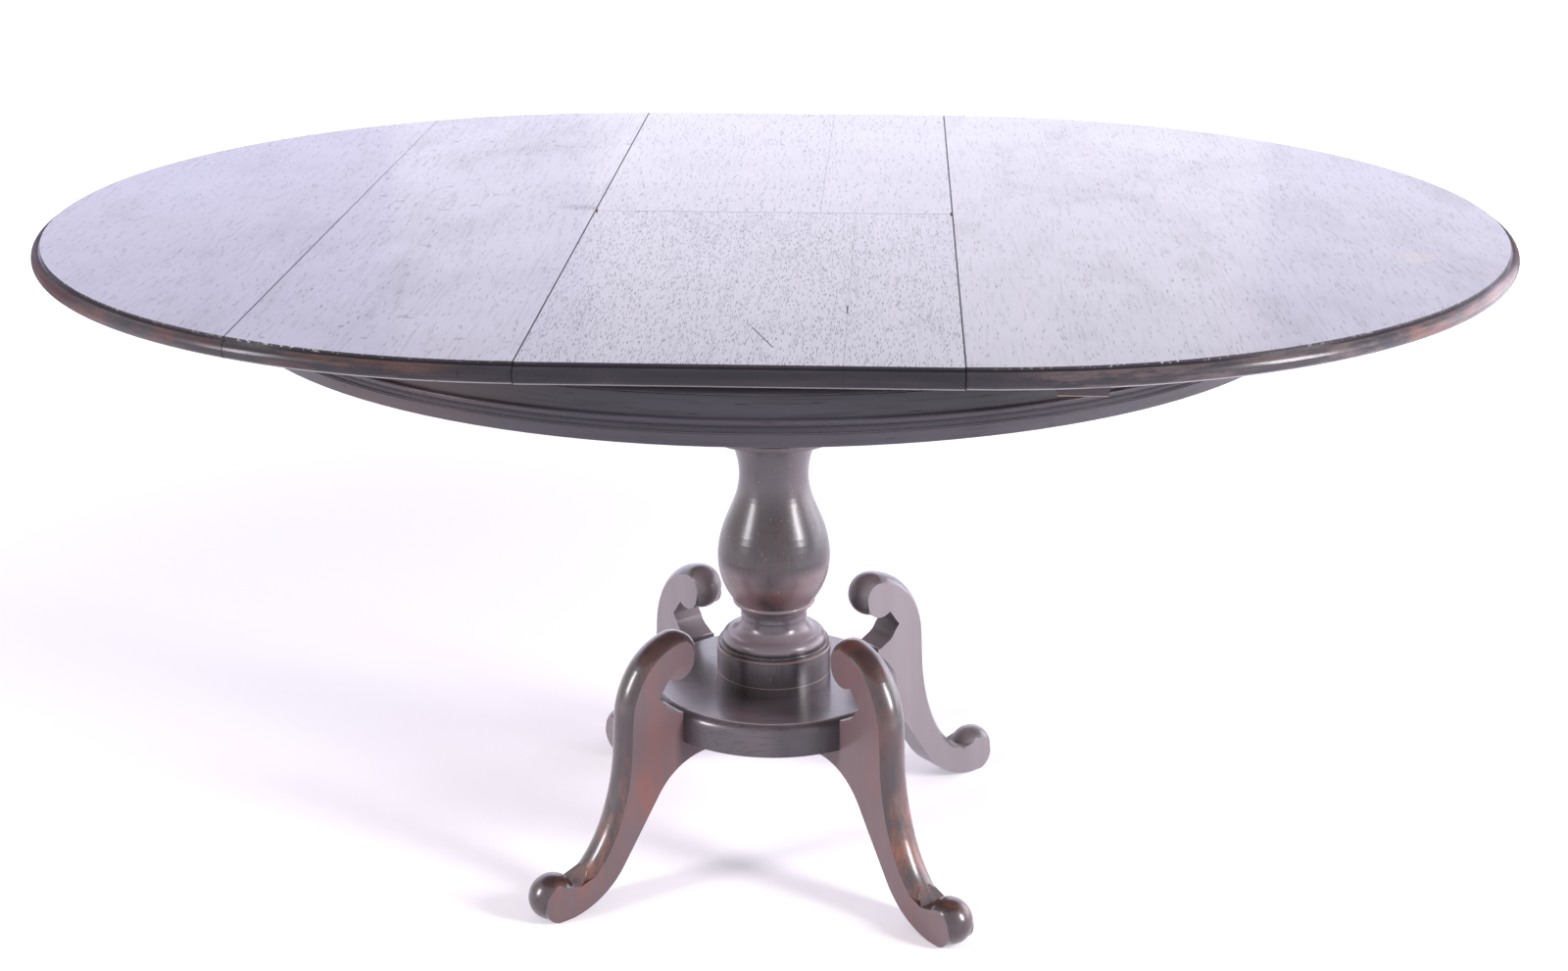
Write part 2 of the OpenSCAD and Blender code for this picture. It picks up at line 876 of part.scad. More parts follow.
module column() {
    color("#4a2a20")
        difference() {
            union() {
                rotate_extrude()
                    column_profile();
                translate([0, 0, collar_z - 1])
                    cylinder(h = head_tenon_l + 1, r = head_tenon_r);
                translate([0, 0, platform_z - hub_t])
                    cylinder(h = platform_t + hub_t + 1, r = foot_tenon_r);
            }
            wedge_shape(1);
        }
}

module column_wedge() {
    color("#8a6a48")
        wedge_shape(0);
}

// Round platform that carries the column and takes the tenons of the legs
tenon_z = platform_z + platform_t / 2 - leg_tenon_h / 2;
leg_screw_r = hub_r + 20;
leg_screw_z = platform_z - 14;
leg_bite = platform_t / 2 - 1;

module platform() {
    hole = foot_tenon_r + round_gap;
    color("#45291f")
        difference() {
            rotate_extrude($fn = 144) {
                translate([hole, platform_z])
                    square([platform_r - platform_round - hole, platform_t]);
                translate([hole, platform_z])
                    square([platform_r - hole, platform_t - platform_round]);
                translate([platform_r - platform_round, platform_top - platform_round])
                    circle(r = platform_round);
            }
            for (k = [0 : 3])
                rotate([0, 0, 45 + base_turn + 90 * k]) {
                    translate([
                        platform_r - leg_tenon_l - fit_gap,
                        -leg_tenon_t / 2 - fit_gap,
                        tenon_z - fit_gap
                    ])
                        cube([leg_tenon_l + 5, leg_tenon_t + 2 * fit_gap, leg_tenon_h + 2 * fit_gap]);
                    screw_hole(leg_screw_r, 0, platform_z - 1, leg_bite + 2);
                }
        }
}

module leg_hub() {
    color("#5c3a28")
        translate([0, 0, platform_z - hub_t])
            rotate_extrude()
                polygon([
                    [foot_tenon_r + round_gap, 0], [hub_r - 4, 0], [hub_r, 4],
                    [hub_r, hub_t], [foot_tenon_r + round_gap, hub_t]
                ]);
}

// Scroll leg, drawn flat: X is the distance from the column's axis, Y is the height.
// Its outer line starts at the crown of the scroll and ends at the heel, above the toe.
// It is a chain of runs [radius, turn], the radius above 0 for a right turn and below 0
// for a left turn. The two straight runs, of radius 0, take up what is left to the heel.
heel = [leg_reach - 27, scroll_r + 9.3];
toe_c = [leg_reach, scroll_r - foot_flat];
toe_flat_c = toe_c - [2.5, 5.5];
scroll_c = [platform_r, platform_z + 102];
scroll_flat_c = scroll_c + [4, -5.5];
flat_r = scroll_r - 5.5;
notch_c = [platform_r + 5, platform_z + 61];
crown_h = -10.6;
crown = scroll_c + scroll_r * [-sin(crown_h), cos(crown_h)];

// Place and heading at the end of the run g that starts at s = [x, y, heading]
function run_end(s, g) =
    let (k = g[0] > 0 ? -1 : 1, r = abs(g[0]), h = s[2] + k * g[1])
    g[0] == 0
        ? [s[0] + g[1] * cos(s[2]), s[1] + g[1] * sin(s[2]), s[2]]
        : [s[0] + k * r * (sin(h) - sin(s[2])), s[1] + k * r * (cos(s[2]) - cos(h)), h];

function chain(s, runs, i = 0) =
    i == len(runs) ? [s] : concat([s], chain(run_end(s, runs[i]), runs, i + 1));

function outer_runs(upper, lower) = [
    [crown_r, crown_turn], [knee_r, knee_turn], [0, upper],
    [-shin_r, shin_turn], [-ankle_r, ankle_turn], [0, lower]
];

bent = chain([crown[0], crown[1], crown_h], outer_runs(0, 0));
left_over = heel - [bent[6][0], bent[6][1]];
upper_way = [cos(bent[2][2]), sin(bent[2][2])];
lower_way = [cos(bent[6][2]), sin(bent[6][2])];
upper_l = round(100 * cross(left_over, lower_way) / cross(upper_way, lower_way)) / 100;
lower_l = round(100 * cross(upper_way, left_over) / cross(upper_way, lower_way)) / 100;
runs = outer_runs(upper_l, lower_l + 4);
places = chain(bent[0], runs);

// Centre of the arc of run g that starts at s
function run_centre(s, g) = [s[0], s[1]] + g[0] * [sin(s[2]), -cos(s[2])];

// Underside: arc up from the toe, straight run, then a hollow arc in to the hub
under_edge = [
    [leg_reach - 4.3, -foot_flat], [leg_reach - 84.3, 42.4],
    [platform_r + 32.6, platform_z - 53.4], [platform_r - 52.5, platform_z - 19.8],
    [hub_r + 0.3, platform_z - 22.4]
];
under_r = 96.8;
hollow_r = 81.3;
band = leg_nose + 4;
hair = 0.02;
lap = 1;

// Points a little inside the outer line, where the flat sides begin
function inside_run(i) =
    let (s = places[i], g = runs[i], n = g[0] == 0 ? 2 : ceil(g[1] / 7))
    [for (j = [0.5 : n]) inside(run_end(s, [g[0], g[1] * j / n]), leg_nose + 2)];

// Point at depth d below the outer line at s = [x, y, heading]
function inside(s, d) = [s[0] + d * sin(s[2]), s[1] - d * cos(s[2])];

module leg_flat() {
    u0 = under_edge[0];
    u1 = under_edge[1];
    uc = arc_centre(u0, u1, under_r, 1);
    inward = [u1[1] - u0[1], u0[0] - u1[0]] / norm(u1 - u0);
    hc = arc_centre(under_edge[2], under_edge[3], hollow_r, -1);
    difference() {
        polygon(concat(
            [under_edge[4], [hub_r + 0.3, platform_z], [platform_r - 5, platform_z]],
            [[platform_r - 5, platform_top + 0.3], [platform_r + 3, platform_top + 0.3]],
            [notch_c + notch_r * [cos(-58), sin(-58)], notch_c + [notch_r + 5, 0]],
            [notch_c + [11, 20], scroll_flat_c],
            [for (i = [0 : 4]) each inside_run(i)],
            [inside([heel[0], heel[1], places[6][2]], 0.6)],
            [toe_flat_c + flat_r * [cos(112), sin(112)], toe_flat_c],
            [[toe_flat_c[0], u0[1]], u0, u1, under_edge[2], under_edge[3]]
        ));
        translate(notch_c)
            circle(r = notch_r);
        translate(hc)
            circle(r = hollow_r, $fn = 192);
    }
    intersection() {
        translate(uc)
            circle(r = under_r, $fn = 192);
        polygon([
            u0 + 3 * inward, u1 + 3 * inward, u1 - 24 * inward, u0 - 24 * inward
        ]);
    }
    translate(scroll_flat_c)
        circle(r = flat_r);
    translate(toe_flat_c)
        circle(r = flat_r);
}

// Section through the rounded nose: crest at X = 0 less a hair, the body towards -X for way 1
module nose_section(way, less) {
    t = leg_t / 2;
    x = -leg_nose - less;
    mirror([way > 0 ? 0 : 1, 0, 0])
        polygon(concat([[-band, -t]], swell([x, -t], [x, t], leg_nose), [[-band, t]]));
}

// Rounded edge along one run of the leg's outer line. Every other run is a hair smaller
// and reaches a little way into its neighbours, so that no two end faces have to meet.
module nose_run(i) {
    s = places[i];
    g = runs[i];
    less = i % 2 == 0 ? 0 : hair;
    reach = i % 2 == 0 ? 0 : lap;
    if (g[0] == 0)
        translate([s[0], s[1], 0])
            rotate([0, 0, s[2]])
                rotate([90, 0, 90])
                    translate([0, 0, -reach])
                        linear_extrude(g[1] + 2 * reach)
                            nose_section(1, less);
    else {
        c = run_centre(s, g);
        more = reach / abs(g[0]) * 180 / PI;
        from = g[0] > 0 ? s[2] - g[1] + 90 : s[2] - 90;
        translate([c[0], c[1], 0])
            rotate_extrude(start = from - more, angle = g[1] + 2 * more, $fn = 240)
                translate([abs(g[0]), 0])
                    nose_section(g[0] > 0 ? 1 : -1, less);
    }
}

// Ball of a scroll over part of a turn: a drum whose rim is rounded like the leg's edge
module scroll_ball(c, from, angle) {
    translate([c[0], c[1], 0])
        rotate_extrude(start = from, angle = angle, $fn = 72) {
            translate([scroll_r, 0])
                nose_section(1, hair);
            translate([0, -leg_t / 2])
                square([scroll_r - leg_nose - 1, leg_t]);
        }
}

// Flat facet where the rounded edge dies out at the heel
module heel_stop() {
    l = 20;
    wide = leg_t / 2 - 0.6;
    translate([heel[0], heel[1], 0])
        rotate([0, 0, places[6][2]])
            translate([-l, -0.25, 0])
                rotate([90, 0, 0])
                    linear_extrude(band)
                        polygon([
                            [0, -wide * 0.45], [l, -wide], [l + 3, -wide],
                            [l + 3, wide], [l, wide], [0, wide * 0.45]
                        ]);
}

module leg(k) {
    rotate([0, 0, 45 + base_turn + 90 * k]) {
        difference() {
            rotate([90, 0, 0]) {
                linear_extrude(leg_t, center = true)
                    leg_flat();
                for (i = [0 : 5])
                    nose_run(i);
                scroll_ball(scroll_c, 90 + crown_h - 1.3, 256);
                scroll_ball(toe_c, 0, 360);
                heel_stop();
            }
            translate([0, 0, platform_z])
                cylinder(h = platform_t + 0.3, r = platform_r + 0.3, $fn = 144);
            translate([0, -leg_t, -far])
                cube([far, 2 * leg_t, far]);
            head_hole(leg_screw_r, 0, leg_screw_z - 20, 20 + screw_head_h);
            screw_hole(leg_screw_r, 0, leg_screw_z, 20);
        }
        translate([platform_r - leg_tenon_l, -leg_tenon_t / 2, tenon_z])
            cube([leg_tenon_l + 6, leg_tenon_t, leg_tenon_h]);
    }
}

module front_left_leg() {
    color("#4a2b21")
        leg(2);
}

module front_right_leg() {
    color("#4a2b21")
        leg(3);
}

module back_left_leg() {
    color("#4a2b21")
        leg(1);
}

module back_right_leg() {
    color("#4a2b21")
        leg(0);
}

module leg_screws() {
    color("#77716a")
        for (k = [0 : 3])
            rotate([0, 0, 45 + base_turn + 90 * k])
                screw_up(leg_screw_r, 0, leg_screw_z, platform_z - leg_screw_z + leg_bite);
}

left_inner_board();
left_outer_board();
left_front_runner();
left_back_runner();
left_battens();
left_front_bearer();
left_back_bearer();
left_screws();
right_board();
right_front_runner();
right_back_runner();
right_battens();
right_front_bearer();
right_back_bearer();
right_screws();
leaf_back_wide_board();
leaf_back_narrow_board();
leaf_front_wide_board();
leaf_front_narrow_board();
leaf_back_hinge_plates();
leaf_front_hinge_plates();
leaf_hinge_pins();
front_rail();
back_rail();
rail_stops();
rail_screws();
apron_rim();
apron_moulding();
rim_blocks();
well_floor();
side_cross_bearer();
front_cross_bearer();
capital();
capital_screws();
column();
column_wedge();
platform();
leg_hub();
front_left_leg();
front_right_leg();
back_left_leg();
back_right_leg();
leg_screws();
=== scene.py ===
import math

import bpy
from mathutils import Matrix, Vector


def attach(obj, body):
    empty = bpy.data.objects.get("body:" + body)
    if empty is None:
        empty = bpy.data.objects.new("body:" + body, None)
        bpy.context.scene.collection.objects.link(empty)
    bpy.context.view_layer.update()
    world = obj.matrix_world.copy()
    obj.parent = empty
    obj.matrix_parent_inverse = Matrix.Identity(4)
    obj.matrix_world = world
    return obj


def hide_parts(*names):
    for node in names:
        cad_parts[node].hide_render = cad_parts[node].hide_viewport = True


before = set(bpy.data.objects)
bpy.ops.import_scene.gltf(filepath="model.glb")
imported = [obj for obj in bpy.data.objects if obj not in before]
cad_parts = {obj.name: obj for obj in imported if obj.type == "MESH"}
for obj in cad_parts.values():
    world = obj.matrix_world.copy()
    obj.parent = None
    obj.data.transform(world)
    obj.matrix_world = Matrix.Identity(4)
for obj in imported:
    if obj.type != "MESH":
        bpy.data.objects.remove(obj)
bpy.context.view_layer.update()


# The two half-round ends of the top. Each is solid mahogany, glued up from boards that run front
# to back, planed flat, moulded with a small step and a rounded nose along its curved edge, then
# stained dark and polished. Years of hands and chair backs have worn the nose back to red wood.
class Wire:
    """A value or a colour on its way through the layers of a finish, so that a sum reads as a sum."""

    def __init__(self, finish, socket):
        self.finish = finish
        self.socket = socket

    def sum(self, way, first, second=0.0):
        return self.finish.step("ShaderNodeMath", {"operation": way}, {0: first, 1: second})

    def __add__(self, other):
        return self.sum("ADD", self, other)

    def __radd__(self, other):
        return self.sum("ADD", other, self)

    def __sub__(self, other):
        return self.sum("SUBTRACT", self, other)

    def __rsub__(self, other):
        return self.sum("SUBTRACT", other, self)

    def __mul__(self, other):
        return self.sum("MULTIPLY", self, other)

    def __rmul__(self, other):
        return self.sum("MULTIPLY", other, self)

    def __pow__(self, other):
        return self.sum("POWER", self, other)

    def __abs__(self):
        return self.sum("ABSOLUTE", self)

    def over(self, other):
        return self.sum("MAXIMUM", self, other)

    def under(self, other):
        return self.sum("MINIMUM", self, other)

    def rise(self, low, high):
        """0 below low, 1 above high, and a soft slope between them. With low above high it falls."""
        if low > high:
            return 1 - self.rise(high, low)
        return self.finish.step("ShaderNodeMapRange", {"interpolation_type": "SMOOTHSTEP"},
                                {"Value": self, "From Min": low, "From Max": high})

    def window(self, low, high, soft):
        """1 between low and high, fading to 0 over a soft border outside them."""
        return self.rise(low - soft, low) * self.rise(high + soft, high)

    def arc(self, start, end, soft):
        """The same for an angle, with its limits in degrees."""
        return self.window(math.radians(start), math.radians(end), math.radians(soft))


def from_axis(x, y):
    """How far a point lies from an axis, by its distances in two directions."""
    return (x * x + y * y) ** 0.5


def turn_from_front(x, y):
    """The angle of a point round an axis, 0 at the front."""
    return x.sum("ARCTAN2", x, y * -1)


class Finish:
    """One finish, laid on in layers over a plain shader and read from the table's own coordinates."""

    def __init__(self, name, **fixed):
        self.material = bpy.data.materials.new(name)
        self.material.use_nodes = True
        self.tree = self.material.node_tree
        self.tree.nodes.clear()
        self.shader = self.tree.nodes.new("ShaderNodeBsdfPrincipled")
        self.surface = self.tree.nodes.new("ShaderNodeOutputMaterial").inputs["Surface"]
        self.tree.links.new(self.shader.outputs["BSDF"], self.surface)
        for socket, value in fixed.items():
            self.shader.inputs[socket.replace("_", " ")].default_value = value
        self.place = self.step("ShaderNodeTexCoord", out="Object")
        self.pattern = self.place
        self.axes = None

    def step(self, kind, settings=None, values=None, out=0):
        """One more node: its kind, its settings, the values or wires of its sockets, and what it gives."""
        node = self.tree.nodes.new(kind)
        for setting, value in (settings or {}).items():
            setattr(node, setting, value)
        for socket, value in (values or {}).items():
            if isinstance(value, Wire):
                self.tree.links.new(value.socket, node.inputs[socket])
            else:
                node.inputs[socket].default_value = value
        return Wire(self, node.outputs[out])

    def axis(self, letter):
        """How far a point lies along X, Y or Z, in metres."""
        if self.axes is None:
            self.axes = {"X": self.step("ShaderNodeSeparateXYZ", {}, {"Vector": self.place}, "X")}
            split = self.axes["X"].socket.node
            self.axes["Y"] = Wire(self, split.outputs["Y"])
            self.axes["Z"] = Wire(self, split.outputs["Z"])
        return self.axes[letter]

    def vector(self, x, y, z):
        return self.step("ShaderNodeCombineXYZ", {}, {"X": x, "Y": y, "Z": z})

    def drawn(self, scale, shift=(0, 0, 0)):
        """The place of a point, drawn out or squeezed along each axis."""
        return self.step("ShaderNodeMapping", {}, {"Vector": self.pattern, "Location": shift,
                                                   "Scale": scale})

    def noise(self, place, per_metre, detail=2.0, rough=0.5, bend=0.0):
        """Soft uneven patches, so many to a metre, from 0 to 1."""
        return self.step("ShaderNodeTexNoise", {}, {"Vector": place, "Scale": per_metre, "Detail": detail,
                                                    "Roughness": rough, "Distortion": bend})

    def blend(self, share, under, over):
        """One colour laid over another by a share from 0 to 1."""
        return self.step("ShaderNodeMix", {"data_type": "RGBA"}, {0: share, 6: under, 7: over}, 2)

    def measure(self, way, first, second, out=0):
        """A sum on two places or directions."""
        return self.step("ShaderNodeVectorMath", {"operation": way}, {0: first, 1: second}, out)

    def reach(self, centre, size):
        """Distance from a point of the surface to a place, 1 at the size given along each axis."""
        moved = self.measure("SUBTRACT", self.place, centre)
        scaled = self.measure("DIVIDE", moved, size)
        return self.step("ShaderNodeVectorMath", {"operation": "LENGTH"}, {0: scaled}, "Value")

    def stroke(self, start, end, width):
        """1 on a straight mark between two points, 0 away from it."""
        run = Vector(end) - Vector(start)
        moved = self.measure("SUBTRACT", self.place, start)
        along = self.measure("DOT_PRODUCT", moved, run / run.length_squared, "Value")
        along = along.over(0.0).under(1.0)
        point = self.step("ShaderNodeVectorMath", {"operation": "SCALE"}, {0: run, "Scale": along})
        return self.measure("DISTANCE", moved, point, "Value").rise(width, width * 0.4)

    def paint(self, colour, rough, coat, height, deep, strength, metal=None):
        """Joins the finished layers to the shader."""
        bumps = self.step("ShaderNodeBump", {}, {"Height": height, "Strength": strength, "Distance": deep})
        parts = {"Base Color": colour, "Roughness": rough, "Coat Weight": coat, "Metallic": metal,
                 "Normal": bumps}
        for socket, value in parts.items():
            if isinstance(value, Wire):
                self.tree.links.new(value.socket, self.shader.inputs[socket])
            elif value is not None:
                self.shader.inputs[socket].default_value = value
        return self.material


def dress(node, material):
    """Gives a node of the frame its finish."""
    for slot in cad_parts[node].material_slots:
        slot.material = material


def stretched(grain, along):
    """The scale of a pattern in wood: 1 across the grain, and less along it."""
    return [along if letter == grain else 1 for letter in "XYZ"]


def place_in_log(seed):
    """Every piece of wood is sawn from another place of the log."""
    return (seed * 1.37 % 9, seed * 2.11 % 9, seed * 0.73 % 9)


class Mahogany(Finish):
    """Stained and polished mahogany: ribbon figure, fine fibre and open pores, all along the grain."""

    dark = (0.026, 0.019, 0.030, 1)
    brown = (0.070, 0.045, 0.056, 1)
    red = (0.200, 0.056, 0.036, 1)
    bare = (0.50, 0.42, 0.37, 1)
    soot = (0.012, 0.010, 0.014, 1)
    smoothest = 0.27
    pore_width = 0.42
    ring_stretch = 0.57

    def __init__(self, name, grain, seed, open_pores, tones=(dark, brown), coat_rough=0.14, shine=0.5,
                 pores_per_metre=780.0, bent=False):
        super().__init__(name, Coat_Roughness=coat_rough, Coat_IOR=1.5, IOR=1.5, Specular_IOR_Level=shine)
        if bent:
            self.follow_ring()
        along = stretched(grain, 0.05)
        shift = place_in_log(seed)
        grown = self.drawn(along, shift)
        self.figure = self.noise(grown, per_metre=13.0, detail=5.0, rough=0.6, bend=0.6)
        fibre = self.noise(grown, per_metre=420.0, detail=3.0, rough=0.6)
        lines = self.noise(grown, per_metre=330.0, detail=3.0, rough=0.55).rise(0.52, 0.66)
        pores = self.dashes(along, shift, pores_per_metre, open_pores)
        cloud = self.noise(self.place, per_metre=9.0, detail=3.0, rough=0.55)
        self.colour = self.blend(self.figure.rise(0.3, 0.72) * 0.75 + fibre * 0.25, *tones)
        self.colour = self.blend((pores * 0.9).over(lines * 0.3), self.colour, self.soot)
        self.rough = cloud * 0.14 + fibre * 0.06 + self.smoothest
        self.coat = 1 - (pores * 0.9).over(lines * 0.16)
        self.height = fibre * 0.12 - pores

    def follow_ring(self):
        """Grain that was bent round the apron: along the ring, out from the middle, and up."""
        x = self.axis("X")
        y = self.axis("Y")
        turn = turn_from_front(x, y)
        self.pattern = self.vector(turn * self.ring_stretch, from_axis(x, y), self.axis("Z"))

    def dashes(self, along, shift, per_metre, share):
        """Open pores: short dashes along the grain, scattered evenly, a share deep enough to see."""
        squeeze = [per_metre * (side if side == 1 else side * 1.2) for side in along]
        cells = self.step("ShaderNodeTexVoronoi", {}, {"Vector": self.drawn(squeeze, shift), "Scale": 1.0})
        colours = Wire(self, cells.socket.node.outputs["Color"])
        lot = self.step("ShaderNodeSeparateXYZ", {}, {"Vector": colours}, "X")
        return cells.rise(self.pore_width, self.pore_width * 0.5) * lot.rise(1.0 - share, 1.02 - share)

    def wear_and_painted_light(self, mask, colour, dull, coat_lost):
        """Where the polish has gone another colour shows, and it shines less; the same layer also lays
        painted light and shade.
        """
        self.colour = self.blend(mask, self.colour, colour)
        self.rough = self.rough + mask * dull
        self.coat = self.coat * (1 - mask * coat_lost)

    def dirty_joint(self, away, outside, inside, share, dull=0.3, coat_lost=0.9):
        """Old dirt in a joint between boards: black as near to it as inside, clean beyond outside."""
        self.wear_and_painted_light(abs(away).rise(outside, inside) * share, self.soot, dull, coat_lost)

    def done(self, deep, strength):
        return self.paint(self.colour, self.rough, self.coat, self.height, deep, strength)


top_face = 0.742
bottom_face = 0.723
end_radius = 0.570
half_leaf = 0.1905
top_shine = 0.22
edge_stain = (0.028, 0.024, 0.034, 1)
arris_painted_highlight = (0.40, 0.385, 0.43, 1)
raw_brown = (0.15, 0.095, 0.07, 1)
chipped = (0.62, 0.58, 0.57, 1)
nose_painted_shade = (0.060, 0.028, 0.030, 1)


def edges(wood, polish_left):
    """Below the flat face a board is stained darker and shines less; its bottom arris gets a pale painted
    highlight.
    """
    below = wood.axis("Z").rise(top_face - 0.0003, top_face - 0.0012)
    streaks = wood.noise(wood.drawn((1, 1, 9)), per_metre=20.0, detail=3.0).rise(0.35, 0.75)
    wood.wear_and_painted_light(below * (0.95 - streaks * 0.3), edge_stain, dull=0.05, coat_lost=1.0 - polish_left)
    # Painted highlight: a pale line along the bottom arris, where it catches light from the floor.
    arris = wood.axis("Z").window(bottom_face + 0.0002, bottom_face + 0.0018, 0.0005)
    wood.wear_and_painted_light(arris * 0.9, arris_painted_highlight, dull=0.0, coat_lost=0.0)


def underside(wood):
    """The lower face of a board is planed but was never stained: brown, dry and dusty."""
    below = wood.axis("Z").rise(bottom_face + 0.0003, bottom_face + 0.0001)
    wood.wear_and_painted_light(below, raw_brown, dull=0.45, coat_lost=1.0)


def end_finish(name, side, seed, polish_on_edge, worn_arcs, painted_shade_from, painted_shade_share):
    """The finish of one board of an end: its flat face, the dark step and the worn nose, with painted shade
    on the nose's far part.
    """
    wood = Mahogany(name, "Y", seed, open_pores=0.13, pores_per_metre=950.0, shine=top_shine)
    across = wood.axis("X") - side * half_leaf
    radius = from_axis(across, wood.axis("Y"))
    turn = turn_from_front(across * side, wood.axis("Y"))

    wiped = wood.drawn((1.4, 0.5, 1), (seed, 0, 0))
    smears = wood.noise(wiped, per_metre=9.0, detail=5.0, rough=0.65).rise(0.45, 0.75)
    wood.rough = wood.rough + smears * 0.06
    wood.coat = wood.coat * (1 - smears * 0.10)
    edges(wood, polish_on_edge)

    nose = radius.rise(end_radius + 0.001, end_radius + 0.003)
    nose = nose * wood.axis("Z").rise(bottom_face + 0.001, bottom_face + 0.004)
    round_the_edge = wood.vector(turn * 0.12, radius, wood.axis("Z"))
    streaks = wood.noise(round_the_edge, per_metre=90.0, detail=4.0, rough=0.6).rise(0.42, 0.62)
    for start, end, soft, share, colour in worn_arcs:
        wood.wear_and_painted_light(nose * streaks * turn.arc(start, end, soft) * share, colour, dull=0.05, coat_lost=0.0)

    sill = abs(radius - end_radius).rise(0.0012, 0.0005)
    sill = sill * wood.axis("Z").rise(top_face - 0.003, top_face - 0.001)
    chips = wood.noise(wood.place, per_metre=190.0, detail=3.0, rough=0.6).rise(0.56, 0.62)
    most_knocked = 0.25 + turn.arc(14, 24, 5) * 0.65
    wood.wear_and_painted_light(sill * chips * most_knocked, chipped, dull=0.2, coat_lost=0.2)

    # Painted shade: the far part of the nose is painted dark red and dulled, for the dark reflection it
    # shows from the front.
    far_nose_painted_shade = nose * turn.rise(math.radians(painted_shade_from), math.radians(painted_shade_from + 18))
    wood.wear_and_painted_light(far_nose_painted_shade * painted_shade_share, nose_painted_shade, dull=0.9, coat_lost=1.0)
    wood.dirty_joint(across, outside=0.0011, inside=0.0005, share=0.9)
    underside(wood)
    return wood


old_red = (0.115, 0.042, 0.038, 1)
warm_red = (0.175, 0.075, 0.066, 1)
orange = (0.180, 0.082, 0.052, 1)
pale_wear_and_painted_highlight = (0.20, 0.145, 0.14, 1)
spilt_yellow = (0.62, 0.50, 0.30, 1)
glue_joint = -0.4545
left_arcs = ((8, 20, 5, 0.45, orange),
             (32, 62, 8, 0.70, old_red))
# The right end's first arc is partly pale wear and partly a painted highlight of the right lamp on the
# nose.
right_arcs = ((8, 42, 6, 0.50, pale_wear_and_painted_highlight),
              (44, 82, 5, 0.70, warm_red),
              (95, 165, 12, 0.3, old_red))


def left_board(name, seed):
    """One of the two boards of the left end, with the dirty glue joint between them."""
    wood = end_finish(name, -1, seed, polish_on_edge=0.15, worn_arcs=left_arcs,
                      painted_shade_from=40, painted_shade_share=0.6)
    fade = wood.axis("Y").rise(0.45, -0.20) * 0.6 + 0.4
    wood.dirty_joint(wood.axis("X") - glue_joint, outside=0.0009, inside=0.0004, share=fade)
    return wood


left_inner = left_board("left_inner_board_polish", 3.1)
rub = left_inner.reach((-0.200, 0.014, top_face), (0.055, 0.022, 0.05))
rub = rub + left_inner.noise(left_inner.place, per_metre=40.0, detail=3.0) * 0.9
left_inner.wear_and_painted_light(rub.rise(1.35, 0.55) * 0.45, left_inner.dark, dull=0.25, coat_lost=0.35)
spots = left_inner.noise(left_inner.place, per_metre=60.0, detail=1.0).rise(0.72, 0.76)
left_inner.wear_and_painted_light(spots * 0.5, left_inner.soot, dull=0.2, coat_lost=0.5)
dress("left_inner_board", left_inner.done(deep=0.0002, strength=0.06))

left_outer = left_board("left_outer_board_polish", 7.9)
dress("left_outer_board", left_outer.done(deep=0.0002, strength=0.06))

right_end = end_finish("right_board_polish", 1, 12.4, polish_on_edge=0.35, worn_arcs=right_arcs,
                       painted_shade_from=62, painted_shade_share=0.8)
stain = right_end.reach((0.645, -0.168, top_face), (0.026, 0.030, 0.05))
stain = stain + right_end.noise(right_end.place, per_metre=60.0, detail=3.0) * 0.7
right_end.wear_and_painted_light(stain.rise(1.3, 0.8) * 0.35, spilt_yellow, dull=0.2, coat_lost=0.3)
for start, end, width in (((0.683, -0.236, top_face), (0.708, -0.229, top_face), 0.0016),
                          ((0.295, -0.530, top_face), (0.310, -0.552, top_face), 0.0012)):
    right_end.wear_and_painted_light(right_end.stroke(start, end, width) * 0.7, right_end.bare, dull=0.2, coat_lost=0.6)
dress("right_board", right_end.done(deep=0.0002, strength=0.06))


# The loose leaf, in a front and a back half that fold together. Each half is two boards glued
# side by side, grain front to back. The leaf has seen less polish than the ends: its pores are
# open and full of dirt, most of all on the front half.
back_joint = 0.050
front_joint = 0.088


def leaf_finish(name, seed, open_pores, pores_per_metre, joint):
    """The finish of one board of the leaf, with dirt at its two edges, its glue joint and the fold."""
    wood = Mahogany(name, "Y", seed, open_pores, pores_per_metre=pores_per_metre, shine=top_shine)
    across = wood.axis("X")
    edges(wood, polish_left=0.15)
    wood.dirty_joint(abs(across) - half_leaf, outside=0.0011, inside=0.0005, share=0.9)
    wood.dirty_joint(across - joint, outside=0.0007, inside=0.0002, share=0.4, dull=0.2, coat_lost=0.6)
    wood.dirty_joint(wood.axis("Y"), outside=0.0012, inside=0.0004, share=0.6, coat_lost=0.7)
    underside(wood)
    return wood


for name, seed, open_pores, joint in (("leaf_back_wide_board", 21.3, 0.22, back_joint),
                                      ("leaf_back_narrow_board", 25.7, 0.16, back_joint)):
    leaf = leaf_finish(name + "_polish", seed, open_pores, 850.0, joint)
    dress(name, leaf.done(deep=0.0003, strength=0.06))

